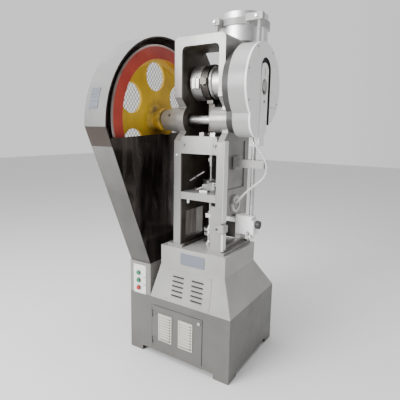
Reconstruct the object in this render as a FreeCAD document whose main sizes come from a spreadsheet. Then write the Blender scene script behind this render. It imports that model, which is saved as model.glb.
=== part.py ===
"""Basket-frame single-punch tablet press, as separate pieces.

Millimetres, +Z up. The origin is the middle of the four foundation-bolt holes, on the floor.
The operator stands at -Y. The flywheel is on the left (-X), the gear train on the right (+X).
"""

import math
import os
import re
from types import SimpleNamespace

import FreeCAD
import Part
import Sketcher

Vector = FreeCAD.Vector
Rotation = FreeCAD.Rotation

DIMENSIONS = {
    # base cabinet, all measured outside
    "cabinet_width": 660,
    "cabinet_depth": 560,
    "cabinet_height": 354,
    "sheet_wall": 3,
    "foot_height": 31,
    "foot_front": 91,
    "foot_side": 85,
    "pad_length": 78,
    "pad_width": 72,
    "pad_height": 10,
    "bolt_spacing_x": 570,
    "bolt_spacing_y": 480,
    "foundation_hole": 9,
    # control column on the left of the cabinet
    "column_width": 149,
    "column_top": 540,
    "button_x": -264,
    "button_low": 385,
    "button_pitch": 45,
    "button_radius": 11,
    "button_travel": 4,
    # sloped hood and the box that carries the frame
    "hood_left": -127,
    "hood_right": 276,
    "hood_front": -250,
    "hood_back": 99,
    "hood_shoulder": 550,
    "hood_top": 658,
    "hood_wall": 4,
    # door on the cabinet's front
    "door_left": -158,
    "door_right": 168,
    "door_bottom": 46,
    "door_top": 306,
    "door_thickness": 3,
    "hinge_radius": 5,
    # flywheel guard
    "guard_left": -326,
    "guard_right": -185,
    "guard_centre_y": -110,
    "guard_centre_z": 1297,
    "guard_radius": 483,
    "guard_foot": 276,
    "guard_wall": 3,
    "mesh_radius": 415,
    "boss_relief": 82,
    # shafts
    "counter_y": -130,
    "counter_z": 1340,
    "counter_radius": 25,
    "pinion_seat": 16,
    "main_y": -67,
    "main_z": 1508.6,
    "main_radius": 30,
    "running_gap": 0.05,
    # flywheel and its drive
    "wheel_left": -283,
    "wheel_right": -208,
    "wheel_radius": 402,
    "wheel_bore_rim": 326,
    "web_left": -268,
    "web_thickness": 14,
    "wheel_hole_circle": 236,
    "wheel_hole": 78,
    "hub_radius": 64,
    "hub_right": -192,
    "belt_width": 14,
    "belt_height": 10,
    "belt_pitch": 22,
    "pulley_radius": 54,
    "motor_y": -60,
    "motor_z": 190,
    "motor_radius": 92,
    "motor_left": -186,
    "motor_length": 300,
    # gears
    "gear_module": 4,
    "pinion_teeth": 15,
    "gear_teeth": 75,
    "gear_left": 290,
    "gear_width": 38,
    # basket frame
    "frame_left": -66,
    "frame_right": 228,
    "opening_left": -22,
    "opening_right": 194,
    "frame_front": -220,
    "frame_back": 75,
    "shoulder_height": 1640,
    "rear_wall": 8,
    "foot_flange": 14,
    "head_back": -26,
    "head_top": 1745,
    "window_top": 1699,
    "corner_radius": 26,
    "boss_left_radius": 76,
    "boss_right_radius": 66,
    "boss_bare_depth": 46,
    "boss_bare_inner": 66,
    "boss_bare_outer": 112,
    # press line: punches, die and ram
    "press_x": 75,
    "stroke": 50,
    "ejection": 12,
    "table_top": 962,
    "table_thickness": 38,
    "die_radius": 25,
    "feed_pin": 7,
    "feed_arm": 112.6,
    "punch_radius": 6.5,
    "ram_width": 96,
    "ram_depth": 110,
    "ram_bottom": 1160,
    "ram_top": 1274,
    "guide_bottom": 1166,
    "guide_top": 1256,
    "slide_gap": 0.3,
    "guide_bolt": 6.5,
    "rod_width": 36,
    "wrist_z": 1262,
    "strap_bore": 72,
    "strap_radius": 95,
    "drum_radius": 90,
    # gear cover and lifting gear on the right
    "cover_left": 272,
    "cover_right": 356,
    "cover_radius": 205,
    "lobe_radius": 88,
    "cover_wall": 5,
    "yoke_thickness": 10,
    "yoke_width": 82,
    "yoke_top": 1616,
    "lift_x": 324,
    "lift_radius": 11.5,
    "lift_bottom": 724,
    # hopper behind the head
    "hopper_x": 150,
    "hopper_y": 118,
    "hopper_radius": 133,
    "hopper_bottom": 1750,
    "hopper_top": 1897,
    "hopper_wall": 2.5,
    # drain hose
    "hose_radius": 5.5,
}

# places that repeat, or that several pieces share
FOOT_BOLT_COLUMNS = ("frame_left - 13", "frame_right + 14")
FOOT_BOLT_ROWS = ("frame_front + 22", "frame_back - 22")
LOUVRE_COLUMNS = ((-40, 36), (84, 160))
LOUVRE_LOW = 30
LOUVRE_PITCH = 26
LOUVRE_HEIGHT = 9
HINGE_LOWS = (76, 236)
GRILLE_LEFTS = (-119, 18)
GRILLE_LOW = 106
GRILLE_WIDTH = 92
GRILLE_HEIGHT = 160
LOCK_X = 150
LOCK_Z = 284
SLOPE_TILT = math.degrees(math.atan2(30, 196))
STRAP_BOLT_Y = (-99, 99)
GUIDE_BOLT_X = (-8, 180)
FEED_PIVOT = (140, 25)
FEED_REST = -71.6
HOSE_ROUTE = [
    (350, -124, 1226), (374, -125, 1202), (402, -127, 1170), (421, -128, 1130),
    (424, -128, 1088), (400, -127, 1050), (362, -124, 1021), (322, -119, 988),
    (288, -112, 955), (264, -105, 926), (246, -100, 911),
]

WORD = re.compile(r"[a-z][a-z_]+")
ALONG = {
    "X": Rotation(Vector(0, 1, 0), 90),
    "Y": Rotation(Vector(1, 0, 0), -90),
    "Z": Rotation(),
}

document = FreeCAD.newDocument("TabletPress")
sheet = document.addObject("Spreadsheet::Sheet", "Dimensions")
pieces = []


def fill_sheet():
    """Write each driving dimension to a row of its own and give the cell its alias."""
    for row, (alias, number) in enumerate(DIMENSIONS.items(), start=1):
        sheet.set(f"A{row}", alias)
        sheet.set(f"B{row}", str(number))
        sheet.setAlias(f"B{row}", alias)
    document.recompute()


def read_sheet():
    """Return the sheet's numbers, for outlines that are worked out point by point."""
    return SimpleNamespace(**{alias: float(sheet.get(alias)) for alias in DIMENSIONS})


fill_sheet()
size = read_sheet()


# ---------------------------------------------------------------- helpers

def with_sheet(expression):
    """Put the sheet's name before each alias in an expression."""
    def prefixed(found):
        word = found.group(0)
        return "Dimensions." + word if word in DIMENSIONS else word
    return WORD.sub(prefixed, str(expression))


def bind(item, **sizes):
    """Bind an object's properties to expressions in the sheet's words."""
    for name, expression in sizes.items():
        item.setExpression(name, with_sheet(expression))
    return item


def place(item, position, turn=None):
    """Put an object at a position given as expressions, with an optional rotation."""
    item.Placement = FreeCAD.Placement(Vector(), turn or Rotation())
    for axis, expression in zip("xyz", position):
        item.setExpression("Placement.Base." + axis, with_sheet(expression))
    return item


def keep(label, item):
    """Name an object as one piece of the press."""
    item.Label = label
    pieces.append(item)
    return item


def box(corner, lengths, turn=None):
    """A block from its lowest corner."""
    item = document.addObject("Part::Box", "Block")
    bind(item, Length=lengths[0], Width=lengths[1], Height=lengths[2])
    return place(item, corner, turn)


def rod(axis, start, radius, length):
    """A cylinder that runs from start in the direction of +axis."""
    item = document.addObject("Part::Cylinder", "Rod")
    bind(item, Radius=radius, Height=length)
    return place(item, start, ALONG[axis])


def cone(axis, start, first, second, length):
    """A cone that runs from start in the direction of +axis."""
    item = document.addObject("Part::Cone", "Taper")
    bind(item, Radius1=first, Radius2=second, Height=length)
    return place(item, start, ALONG[axis])


def hexagon(axis, start, corner_radius, length):
    """A six-sided prism, for nuts and bolt heads."""
    item = document.addObject("Part::Prism", "Hexagon")
    item.Polygon = 6
    bind(item, Circumradius=corner_radius, Height=length)
    return place(item, start, ALONG[axis])


def fuse(*items):
    """One solid from several that touch."""
    if len(items) == 1:
        return items[0]
    item = document.addObject("Part::MultiFuse", "Union")
    item.Shapes = list(items)
    item.Refine = True
    return item


def cut(base, *tools):
    """The base less every tool."""
    item = document.addObject("Part::Cut", "Difference")
    item.Base = base
    item.Tool = fuse(*tools)
    item.Refine = True
    return item


def common(first, second):
    """What two shapes share."""
    item = document.addObject("Part::MultiCommon", "Shared")
    item.Shapes = [first, second]
    return item


def group(*items):
    """Several separate solids held as one piece, such as a set of equal screws."""
    item = document.addObject("Part::Compound", "Group")
    item.Links = list(items)
    return item


def tube(axis, start, outer, inner, length):
    """A hollow cylinder."""
    return cut(rod(axis, start, outer, length), rod(axis, start, inner, length))


def new_body(label):
    """A PartDesign body that is one piece."""
    return keep(label, document.addObject("PartDesign::Body", label))


def sketch_on(body, role, height=0.0):
    """A sketch on one of the body's own origin planes, at a height along its normal."""
    sketch = body.newObject("Sketcher::SketchObject", body.Name + "_sketch")
    plane = next(part for part in body.Origin.OriginFeatures if part.Role == role)
    sketch.AttachmentSupport = [(plane, "")]
    sketch.MapMode = "FlatFace"
    sketch.AttachmentOffset = FreeCAD.Placement(Vector(0, 0, height), Rotation())
    return sketch


def draw(sketch, points):
    """Draw a closed outline. A corner is (x, y); an arc's middle is (x, y, "arc")."""
    corners = [Vector(point[0], point[1], 0) for point in points]
    closed = points + [points[0]]
    ends = corners + [corners[0]]
    index = 0
    while index < len(points):
        if len(closed[index + 1]) == 3:
            sketch.addGeometry(Part.Arc(ends[index], ends[index + 1], ends[index + 2]))
            index += 2
        else:
            sketch.addGeometry(Part.LineSegment(ends[index], ends[index + 1]))
            index += 1
    return sketch


def draw_circle(sketch, centre, alias):
    """Draw a circle whose radius is bound to the sheet."""
    circle = Part.Circle(Vector(centre[0], centre[1], 0), Vector(0, 0, 1), DIMENSIONS[alias])
    line = sketch.addGeometry(circle)
    number = sketch.addConstraint(Sketcher.Constraint("Radius", line, DIMENSIONS[alias]))
    sketch.setExpression(f"Constraints[{number}]", with_sheet(alias))
    return sketch


def pad(body, sketch, length, reverse=False):
    """Add material from a sketch."""
    item = body.newObject("PartDesign::Pad", body.Name + "_pad")
    item.Profile = sketch
    item.Reversed = reverse
    return bind(item, Length=length)


def pocket(body, sketch, length=None, reverse=True):
    """Take material away from a sketch, right through when no depth is given."""
    item = body.newObject("PartDesign::Pocket", body.Name + "_pocket")
    item.Profile = sketch
    item.Reversed = reverse
    if length is None:
        item.Type = "ThroughAll"
        item.Midplane = True
        return item
    return bind(item, Length=length)


def turned(body, sketch, axis="H_Axis"):
    """Turn a sketch about one of its own axes."""
    item = body.newObject("PartDesign::Revolution", body.Name + "_turned")
    item.Profile = sketch
    item.ReferenceAxis = (sketch, [axis])
    item.Angle = 360
    return item


def around(body, feature, count):
    """Repeat a feature of the body evenly about the body's X axis."""
    item = body.newObject("PartDesign::PolarPattern", body.Name + "_pattern")
    item.Originals = [feature]
    x_axis = next(part for part in body.Origin.OriginFeatures if part.Role == "X_Axis")
    item.Axis = (x_axis, [""])
    item.Angle = 360
    item.Occurrences = count
    body.Tip = item
    return item


def plate_outline(left, low, right, high, radius):
    """A rectangle with equal round corners."""
    nick = radius * (1 - math.sqrt(0.5))
    return [
        (left + radius, low), (right - radius, low),
        (right - nick, low + nick, "arc"), (right, low + radius),
        (right, high - radius), (right - nick, high - nick, "arc"),
        (right - radius, high), (left + radius, high),
        (left + nick, high - nick, "arc"), (left, high - radius),
        (left, low + radius), (left + nick, low + nick, "arc"),
    ]


# ---------------------------------------------------------------- base

def base_cabinet():
    """Folded sheet cabinet on four corner feet, open underneath, with the motor's cross plate."""
    outer = box(
        ("-cabinet_width / 2", "-cabinet_depth / 2", 0),
        ("cabinet_width", "cabinet_depth", "cabinet_height"),
    )
    inner = box(
        ("-cabinet_width / 2 + sheet_wall", "-cabinet_depth / 2 + sheet_wall", -1),
        ("cabinet_width - 2 * sheet_wall", "cabinet_depth - 2 * sheet_wall",
         "cabinet_height - sheet_wall + 1"),
    )
    front_gap = box(
        ("-cabinet_width / 2 + foot_front", "-cabinet_depth / 2 - 1", -1),
        ("cabinet_width - 2 * foot_front", "cabinet_depth + 2", "foot_height + 1"),
    )
    side_gap = box(
        ("-cabinet_width / 2 - 1", "-cabinet_depth / 2 + foot_side", -1),
        ("cabinet_width + 2", "cabinet_depth - 2 * foot_side", "foot_height + 1"),
    )
    doorway = box(
        ("door_left + 12", "-cabinet_depth / 2 - 1", "door_bottom + 12"),
        ("door_right - door_left - 24", "sheet_wall + 2", "door_top - door_bottom - 24"),
    )
    belt_slot = box(
        ("-cabinet_width / 2 + 12", -215, "cabinet_height - sheet_wall - 1"),
        ("column_width - 24", 290, "sheet_wall + 2"),
    )
    motor_plate = box(
        ("motor_left - 6", "-cabinet_depth / 2 + sheet_wall - 1", "motor_z - motor_radius - 18"),
        ("motor_length + 12", "cabinet_depth - 2 * sheet_wall + 2", 10),
    )
    shell = cut(outer, inner, front_gap, side_gap, doorway, belt_slot)
    keep("base_cabinet", fuse(shell, motor_plate))


def foundation_pads():
    """A drilled plate inside each foot, for the foundation bolts."""
    plates = []
    for side_x in (-1, 1):
        for side_y in (-1, 1):
            middle = (f"{side_x} * bolt_spacing_x / 2", f"{side_y} * bolt_spacing_y / 2")
            plate = box(
                (f"{side_x} * (cabinet_width / 2 - sheet_wall - pad_length / 2) - pad_length / 2",
                 f"{side_y} * (cabinet_depth / 2 - sheet_wall - pad_width / 2) - pad_width / 2", 0),
                ("pad_length", "pad_width", "pad_height"),
            )
            hole = rod("Z", (*middle, -1), "foundation_hole", "pad_height + 2")
            plates.append(cut(plate, hole))
    keep("foundation_pads", group(*plates))


def control_column():
    """Hollow column at the cabinet's left, open to the cabinet and to the belt guard."""
    outer = box(
        ("-cabinet_width / 2", "-cabinet_depth / 2", "cabinet_height"),
        ("column_width", "cabinet_depth", "column_top - cabinet_height"),
    )
    inner = box(
        ("-cabinet_width / 2 + sheet_wall", "-cabinet_depth / 2 + sheet_wall", "cabinet_height - 1"),
        ("column_width - 2 * sheet_wall", "cabinet_depth - 2 * sheet_wall",
         "column_top - cabinet_height + 2"),
    )
    holes = [
        rod("Y", ("button_x", "-cabinet_depth / 2 - 1", f"button_low + {step} * button_pitch"),
            "button_radius + 1", "sheet_wall + 2")
        for step in range(3)
    ]
    keep("control_column", cut(outer, inner, *holes))


def push_buttons():
    """Three flat push buttons; each slides in by its travel."""
    for step, label in enumerate(("stop_button", "jog_button", "start_button")):
        height = f"button_low + {step} * button_pitch"
        cap = rod("Y", ("button_x", "-cabinet_depth / 2 - 14", height), "button_radius", 14)
        stem = rod("Y", ("button_x", "-cabinet_depth / 2 - 1", height), "button_radius - 4", 17)
        keep(label, fuse(cap, stem))


def hood_block(inset, drop):
    """The hood's outside, or its inside when inset by the wall."""
    slope = document.addObject("Part::Wedge", "Slope")
    bind(
        slope,
        Xmin=f"-cabinet_width / 2 + column_width + {inset}",
        Xmax=f"cabinet_width / 2 - {inset}",
        Zmin=f"-cabinet_depth / 2 + {inset}",
        Zmax=f"cabinet_depth / 2 - {inset}",
        Ymin=f"cabinet_height - {drop}",
        Ymax="hood_shoulder",
        X2min=f"hood_left + {inset}",
        X2max=f"hood_right - {inset}",
        Z2min=f"hood_front + {inset}",
        Z2max=f"hood_back - {inset}",
    )
    # a wedge rises along its own Y, so it is stood up and its own Z then runs along -Y
    slope.Placement = FreeCAD.Placement(Vector(), Rotation(Vector(1, 0, 0), 90))
    flipped = document.addObject("Part::Mirroring", "SlopeTurned")
    flipped.Source = slope
    flipped.Normal = Vector(0, 1, 0)
    top = box(
        (f"hood_left + {inset}", f"hood_front + {inset}", "hood_shoulder"),
        (f"hood_right - hood_left - 2 * {inset}", f"hood_back - hood_front - 2 * {inset}",
         f"hood_top - hood_shoulder - {inset}"),
    )
    return fuse(flipped, top)


def pedestal_hood():
    """Sloped shell between the cabinet and the frame, with a flat top that carries the frame."""
    outer = hood_block(0, 0)
    inner = hood_block("hood_wall", 1)
    bores = [
        rod("Z", (x, y, "hood_top - hood_wall - 1"), 6.2, "hood_wall + 2")
        for x in FOOT_BOLT_COLUMNS for y in FOOT_BOLT_ROWS
    ]
    keep("pedestal_hood", cut(outer, inner, *bores, *vent_windows()))


def vent_windows():
    """Two windows in the front slope, behind the louvred plate."""
    return [
        box((left, "-cabinet_depth / 2 - 20", 398), (width, 60, 112))
        for left, width in ((-48, 96), (84, 78))
    ]


def louvre_plate():
    """Removable plate on the front slope, with two columns of five slots."""
    body = new_body("louvre_plate")
    sketch = draw(sketch_on(body, "XZ_Plane"), plate_outline(-78, 0, 205, 176, 5))
    pad(body, sketch, 2)
    slots = sketch_on(body, "XZ_Plane")
    for left, right in LOUVRE_COLUMNS:
        for row in range(5):
            low = LOUVRE_LOW + LOUVRE_PITCH * row
            draw(slots, plate_outline(left, low, right, low + LOUVRE_HEIGHT, 4.4))
    pocket(body, slots)
    lift = 6
    depth = -280 + math.tan(math.radians(SLOPE_TILT)) * lift
    body.Placement = FreeCAD.Placement(
        Vector(0, depth - 0.05, size.cabinet_height + lift), Rotation(Vector(1, 0, 0), -SLOPE_TILT)
    )


def access_door():
    """Sheet door with two grille openings; it hinges on the left and locks on the right."""
    body = document.addObject("PartDesign::Body", "DoorPanel")
    outline = plate_outline(size.door_left, size.door_bottom, size.door_right, size.door_top, 4)
    pad(body, draw(sketch_on(body, "XZ_Plane"), outline), "door_thickness")
    openings = sketch_on(body, "XZ_Plane")
    for left in GRILLE_LEFTS:
        draw(openings, plate_outline(left + 5, GRILLE_LOW + 5, left + GRILLE_WIDTH - 5,
                                     GRILLE_LOW + GRILLE_HEIGHT - 5, 3))
    draw_circle(openings, (LOCK_X, LOCK_Z), "hinge_radius")
    pocket(body, openings)
    place(body, (0, "-cabinet_depth / 2 - 0.4", 0))
    leaves = []
    for low in HINGE_LOWS:
        start = ("door_left - 7", "-cabinet_depth / 2 - 6", low + 18.3)
        knuckle = fuse(rod("Z", start, "hinge_radius", 18),
                       box(("door_left - 5", "-cabinet_depth / 2 - 5.4", low + 18.3), (25, 2, 18)))
        leaves.append(cut(knuckle, rod("Z", start, "2.4 + running_gap", 18)))
    keep("access_door", fuse(body, *leaves))


def door_grilles():
    """Two equal louvred grilles on the door's face."""
    grilles = []
    for left in GRILLE_LEFTS:
        frame = box((left, "-cabinet_depth / 2 - 7.4", GRILLE_LOW), (GRILLE_WIDTH, 4, GRILLE_HEIGHT))
        window = box((left + 7, "-cabinet_depth / 2 - 8", GRILLE_LOW + 7),
                     (GRILLE_WIDTH - 14, 6, GRILLE_HEIGHT - 14))
        slats = []
        for row in range(9):
            slats.append(box(
                (left + 6.5, "-cabinet_depth / 2 - 7", GRILLE_LOW + 11 + 16 * row),
                (GRILLE_WIDTH - 13, 1.6, 14), Rotation(Vector(1, 0, 0), -14),
            ))
        grilles.append(fuse(cut(frame, window), *slats))
    keep("door_grilles", group(*grilles))


def door_hinges():
    """Cabinet half of two hinges, each with its pin."""
    halves = []
    for low in HINGE_LOWS:
        start = ("door_left - 7", "-cabinet_depth / 2 - 6", low)
        halves.append(fuse(
            rod("Z", start, "hinge_radius", 18),
            rod("Z", start, 2.4, 36),
            box(("door_left - 18", "-cabinet_depth / 2 - 2", low), (11, 2, 18)),
            box(("door_left - 12", "-cabinet_depth / 2 - 6", low), (5, 5, 18)),
        ))
    keep("door_hinges", group(*halves))


def door_lock():
    """Quarter-turn lock: a round head whose cam tongue turns behind the doorway's edge."""
    head = rod("Y", (LOCK_X, "-cabinet_depth / 2 - 9.4", LOCK_Z), 9, 6)
    shank = rod("Y", (LOCK_X, "-cabinet_depth / 2 - 4", LOCK_Z), 4.9, 11)
    tongue = box((LOCK_X - 5, "-cabinet_depth / 2 + 4", LOCK_Z - 22), (10, 3, 26))
    key_slot = box((LOCK_X - 1.2, "-cabinet_depth / 2 - 10", LOCK_Z - 6), (2.4, 3, 12))
    keep("door_lock", cut(fuse(head, shank, tongue), key_slot))


# ---------------------------------------------------------------- guard

def guard_outline(inset):
    """The guard's side view: round over the flywheel, tapering to the column."""
    y = size.guard_centre_y
    z = size.guard_centre_z
    radius = size.guard_radius - inset
    foot = size.guard_foot - inset * 1.08
    low = size.column_top
    return [
        (-foot, low), (foot, low), (y + radius, z), (y, z + radius, "arc"), (y - radius, z),
    ]


def guard_band():
    """Sheet band round the flywheel, with a flanged left side that holds the mesh."""
    body = new_body("guard_band")
    place(body, ("guard_left", 0, 0))
    pad(body, draw(sketch_on(body, "YZ_Plane"), guard_outline(0)), "guard_right - guard_left")
    hollow = draw(sketch_on(body, "YZ_Plane", size.guard_wall), guard_outline(size.guard_wall))
    pocket(body, hollow, "guard_right - guard_left")
    round_window = draw_circle(
        sketch_on(body, "YZ_Plane"), (size.guard_centre_y, size.guard_centre_z), "mesh_radius")
    pocket(body, round_window, "2 * guard_wall")


def guard_mesh():
    """Wire mesh disc behind the flywheel, held inside the guard's left side."""
    keep("guard_mesh", rod(
        "X", ("guard_left + guard_wall", "guard_centre_y", "guard_centre_z"), "mesh_radius + 14", 2))


def guard_side_cover():
    """Polished plate that closes the lower part of the guard's right side."""
    body = new_body("guard_side_cover")
    inset = size.guard_wall + 0.5
    foot = size.guard_foot - inset * 1.08
    taper = (size.guard_radius - inset - size.guard_centre_y - foot) / (
        size.guard_centre_z - size.column_top)
    front_low = 1240
    front = -foot - taper * (front_low - size.column_top)
    back_rise = (size.guard_radius - inset + size.guard_centre_y - foot) / (
        size.guard_centre_z - size.column_top)
    back_high = 1296
    back = foot + back_rise * (back_high - size.column_top)
    outline = [(-foot, size.column_top + 0.5), (foot, size.column_top + 0.5),
               (back, back_high), (front, front_low)]
    pad(body, draw(sketch_on(body, "YZ_Plane"), outline), 2)
    notch = draw_circle(sketch_on(body, "YZ_Plane"), (size.counter_y, size.counter_z), "boss_relief")
    pocket(body, notch)
    place(body, ("guard_right - 2.5", 0, 0))


# ---------------------------------------------------------------- flywheel and drive

def flywheel():
    """Cast wheel: grooved rim, dished web with six round holes, and a long hub."""
    body = new_body("flywheel")
    left = size.wheel_left
    right = size.wheel_right
    rim = size.wheel_radius
    groove_depth = size.belt_height + 1
    middle = (left + right) / 2
    half = size.belt_width / 2 + 0.5
    outline = [(left, size.counter_radius), (size.hub_right, size.counter_radius),
               (size.hub_right, size.hub_radius - 6), (size.hub_right - 6, size.hub_radius),
               (size.web_left + size.web_thickness + 20, size.hub_radius),
               (size.web_left + size.web_thickness, size.hub_radius + 26),
               (size.web_left + size.web_thickness, size.wheel_bore_rim - 24),
               (size.web_left + size.web_thickness + 14, size.wheel_bore_rim),
               (right, size.wheel_bore_rim), (right, rim - 3), (right - 3, rim)]
    for belt in (1, 0, -1):
        centre = middle + belt * size.belt_pitch
        outline += [(centre + half, rim), (centre + half, rim - groove_depth),
                    (centre - half, rim - groove_depth), (centre - half, rim)]
    outline += [(left + 3, rim), (left, rim - 3), (left, size.wheel_bore_rim),
                (size.web_left, size.wheel_bore_rim - 10), (size.web_left, size.hub_radius + 8),
                (left, size.hub_radius)]
    turned(body, draw(sketch_on(body, "XY_Plane"), outline))
    first = math.radians(93)
    hole_centre = (size.wheel_hole_circle * math.cos(first), size.wheel_hole_circle * math.sin(first))
    hole = draw_circle(sketch_on(body, "YZ_Plane"), hole_centre, "wheel_hole")
    around(body, pocket(body, hole), 6)
    place(body, (0, "counter_y", "counter_z"))


def belt_loop(inner_wheel, inner_pulley, outer_wheel, outer_pulley):
    """The outline of a belt between two radii at each end, as a closed face with a hole."""
    wheel = Vector(0, size.counter_y, size.counter_z)
    pulley = Vector(0, size.motor_y, size.motor_z)
    span = pulley - wheel
    distance = span.Length
    heading = math.atan2(span.z, span.y)

    def loop(first, second):
        lean = math.acos((first - second) / distance)

        def at(centre, radius, angle):
            return centre + Vector(0, radius * math.cos(angle), radius * math.sin(angle))

        start = at(wheel, first, heading + lean)
        far = at(wheel, first, heading + math.pi)
        end = at(wheel, first, heading - lean)
        back = at(pulley, second, heading - lean)
        near = at(pulley, second, heading)
        again = at(pulley, second, heading + lean)
        return Part.Wire([
            Part.Arc(start, far, end).toShape(),
            Part.LineSegment(end, back).toShape(),
            Part.Arc(back, near, again).toShape(),
            Part.LineSegment(again, start).toShape(),
        ])

    outer = Part.Face(loop(outer_wheel, outer_pulley))
    return outer.cut(Part.Face(loop(inner_wheel, inner_pulley)))


def v_belts():
    """Three belts from the motor pulley to the flywheel's grooves."""
    drop = size.belt_height + 0.5
    face = belt_loop(size.wheel_radius - drop, size.pulley_radius - drop,
                     size.wheel_radius - 0.5, size.pulley_radius - 0.5)
    middle = (size.wheel_left + size.wheel_right) / 2
    loops = []
    for belt in (-1, 0, 1):
        solid = face.extrude(Vector(size.belt_width, 0, 0))
        solid.translate(Vector(middle + belt * size.belt_pitch - size.belt_width / 2, 0, 0))
        loops.append(solid)
    item = document.addObject("Part::Feature", "Belts")
    item.Shape = Part.makeCompound(loops)
    item.Placement = FreeCAD.Placement()
    keep("v_belts", item)


def motor_pulley():
    """Three-groove pulley on the motor shaft."""
    body = new_body("motor_pulley")
    left = size.wheel_left
    right = size.wheel_right
    rim = size.pulley_radius
    middle = (left + right) / 2
    half = size.belt_width / 2 + 0.5
    outline = [(left, 14), (right, 14), (right, rim)]
    for belt in (1, 0, -1):
        centre = middle + belt * size.belt_pitch
        outline += [(centre + half, rim), (centre + half, rim - size.belt_height - 1),
                    (centre - half, rim - size.belt_height - 1), (centre - half, rim)]
    outline.append((left, rim))
    turned(body, draw(sketch_on(body, "XY_Plane"), outline))
    place(body, (0, "motor_y", "motor_z"))


def motor():
    """Drive motor: ribbed body, end bells, feet and terminal box."""
    core = rod("X", ("motor_left + 20", "motor_y", "motor_z"), "motor_radius - 8", "motor_length - 40")
    bells = [
        rod("X", (start, "motor_y", "motor_z"), "motor_radius - 2", 24)
        for start in ("motor_left", "motor_left + motor_length - 24")
    ]
    ribs = []
    for step in range(16):
        turn = Rotation(Vector(1, 0, 0), 22.5 * step)
        ribs.append(place(
            bind(document.addObject("Part::Box", "Rib"), Length="motor_length - 60", Width=3,
                 Height="motor_radius"),
            ("motor_left + 30", "motor_y", "motor_z"), turn))
    feet = [
        box((f"motor_left + {start}", "motor_y - 90", "motor_z - motor_radius - 8"), (50, 180, 14))
        for start in (40, 210)
    ]
    webs = [
        box((f"motor_left + {start + 10}", "motor_y - 50", "motor_z - motor_radius"), (30, 100, 40))
        for start in (40, 210)
    ]
    terminal = box(("motor_left + 100", "motor_y + 30", "motor_z + 50"), (90, 70, 60))
    bore = rod("X", ("motor_left - 1", "motor_y", "motor_z"), 14.05, 60)
    keep("motor", cut(fuse(core, *bells, *ribs, *feet, *webs, terminal), bore))


def motor_shaft():
    """The motor's own shaft."""
    keep("motor_shaft", rod("X", ("wheel_left - 4", "motor_y", "motor_z"), 14,
                            "motor_left - wheel_left + 50"))


def countershaft():
    """Stepped lower shaft from the flywheel to the pinion."""
    long_part = rod("X", ("wheel_left - 12", "counter_y", "counter_z"), "counter_radius",
                    "gear_left - wheel_left + 6")
    seat = rod("X", ("gear_left - 6", "counter_y", "counter_z"), "pinion_seat", "gear_width + 14")
    keep("countershaft", fuse(long_part, seat))


def involute_outline(teeth, backlash):
    """Points round a spur gear with involute flanks, 25 degree pressure angle."""
    module = size.gear_module
    pitch = module * teeth / 2
    base = pitch * math.cos(math.radians(25))
    tip = pitch + 0.95 * module
    root = pitch - 1.2 * module
    roll = math.tan(math.radians(25)) - math.radians(25)
    half_tooth = math.pi / (2 * teeth) - backlash / (2 * pitch)
    start = max(base, root + 0.1)
    flank = []
    for step in range(6):
        radius = start + (tip - start) * step / 5
        turn = math.sqrt(max((radius / base) ** 2 - 1, 0))
        swing = turn - math.atan(turn)
        flank.append((radius, half_tooth + roll - swing))
    points = []
    for tooth in range(teeth):
        middle = 2 * math.pi * tooth / teeth
        points.append((root, middle - flank[0][1]))
        points += [(radius, middle - angle) for radius, angle in flank]
        points += [(radius, middle + angle) for radius, angle in reversed(flank)]
        points.append((root, middle + flank[0][1]))
    return [Vector(0, radius * math.cos(angle), radius * math.sin(angle)) for radius, angle in points]


def spur_gear(label, teeth, bore, phase, web=None):
    """A spur gear about X, turned by phase degrees, with an optional thinner web."""
    points = involute_outline(teeth, 0.6)
    face = Part.Face(Part.makePolygon(points + [points[0]]))
    solid = face.extrude(Vector(size.gear_width, 0, 0))
    solid = solid.cut(Part.makeCylinder(bore, size.gear_width + 2, Vector(-1, 0, 0), Vector(1, 0, 0)))
    if web:
        hub, rim, depth = web
        for start in (-1, size.gear_width - depth):
            ring = Part.makeCylinder(rim, depth + 1, Vector(start, 0, 0), Vector(1, 0, 0))
            ring = ring.cut(Part.makeCylinder(hub, depth + 3, Vector(start - 1, 0, 0), Vector(1, 0, 0)))
            solid = solid.cut(ring)
    item = document.addObject("Part::Feature", "Gear")
    item.Shape = solid
    item.Placement = FreeCAD.Placement(Vector(), Rotation(Vector(1, 0, 0), phase))
    return keep(label, item)


def gear_pair():
    """Pinion on the countershaft and the large gear on the main shaft, in mesh."""
    across = size.main_y - size.counter_y
    up = size.main_z - size.counter_z
    heading = math.degrees(math.atan2(up, across))
    pinion = spur_gear("pinion", int(size.pinion_teeth), size.pinion_seat, heading)
    pinion.Placement.Base = Vector(size.gear_left - 2, size.counter_y, size.counter_z)
    half_pitch = 180 / size.gear_teeth
    gear = spur_gear("main_gear", int(size.gear_teeth), size.main_radius,
                     heading + 180 + half_pitch, (52, 132, 10))
    gear.Placement.Base = Vector(size.gear_left, size.main_y, size.main_z)


# ---------------------------------------------------------------- basket frame

def cheek_outline():
    """Side view of a cheek, with its back top corner sloped down to the rear wall."""
    front = size.frame_front
    back = size.frame_back
    low = size.hood_top + size.foot_flange
    return [(front, low), (back, low), (back, size.shoulder_height),
            (size.head_back, size.head_top), (front, size.head_top)]


def boss_hollow(left, right):
    """What a cheek loses at its front edge to bare the countershaft's boss."""
    front = size.frame_front
    middle = size.counter_z
    outline = [
        (front - 1, middle - size.boss_bare_outer),
        (front + size.boss_bare_depth, middle - size.boss_bare_inner),
        (front + size.boss_bare_depth, middle + size.boss_bare_inner),
        (front - 1, middle + size.boss_bare_outer),
    ]
    body = document.addObject("PartDesign::Body", "BossHollow")
    pad(body, draw(sketch_on(body, "YZ_Plane"), outline), f"{right} - {left} + 2")
    return place(body, (f"{left} - 1", 0, 0))


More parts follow.
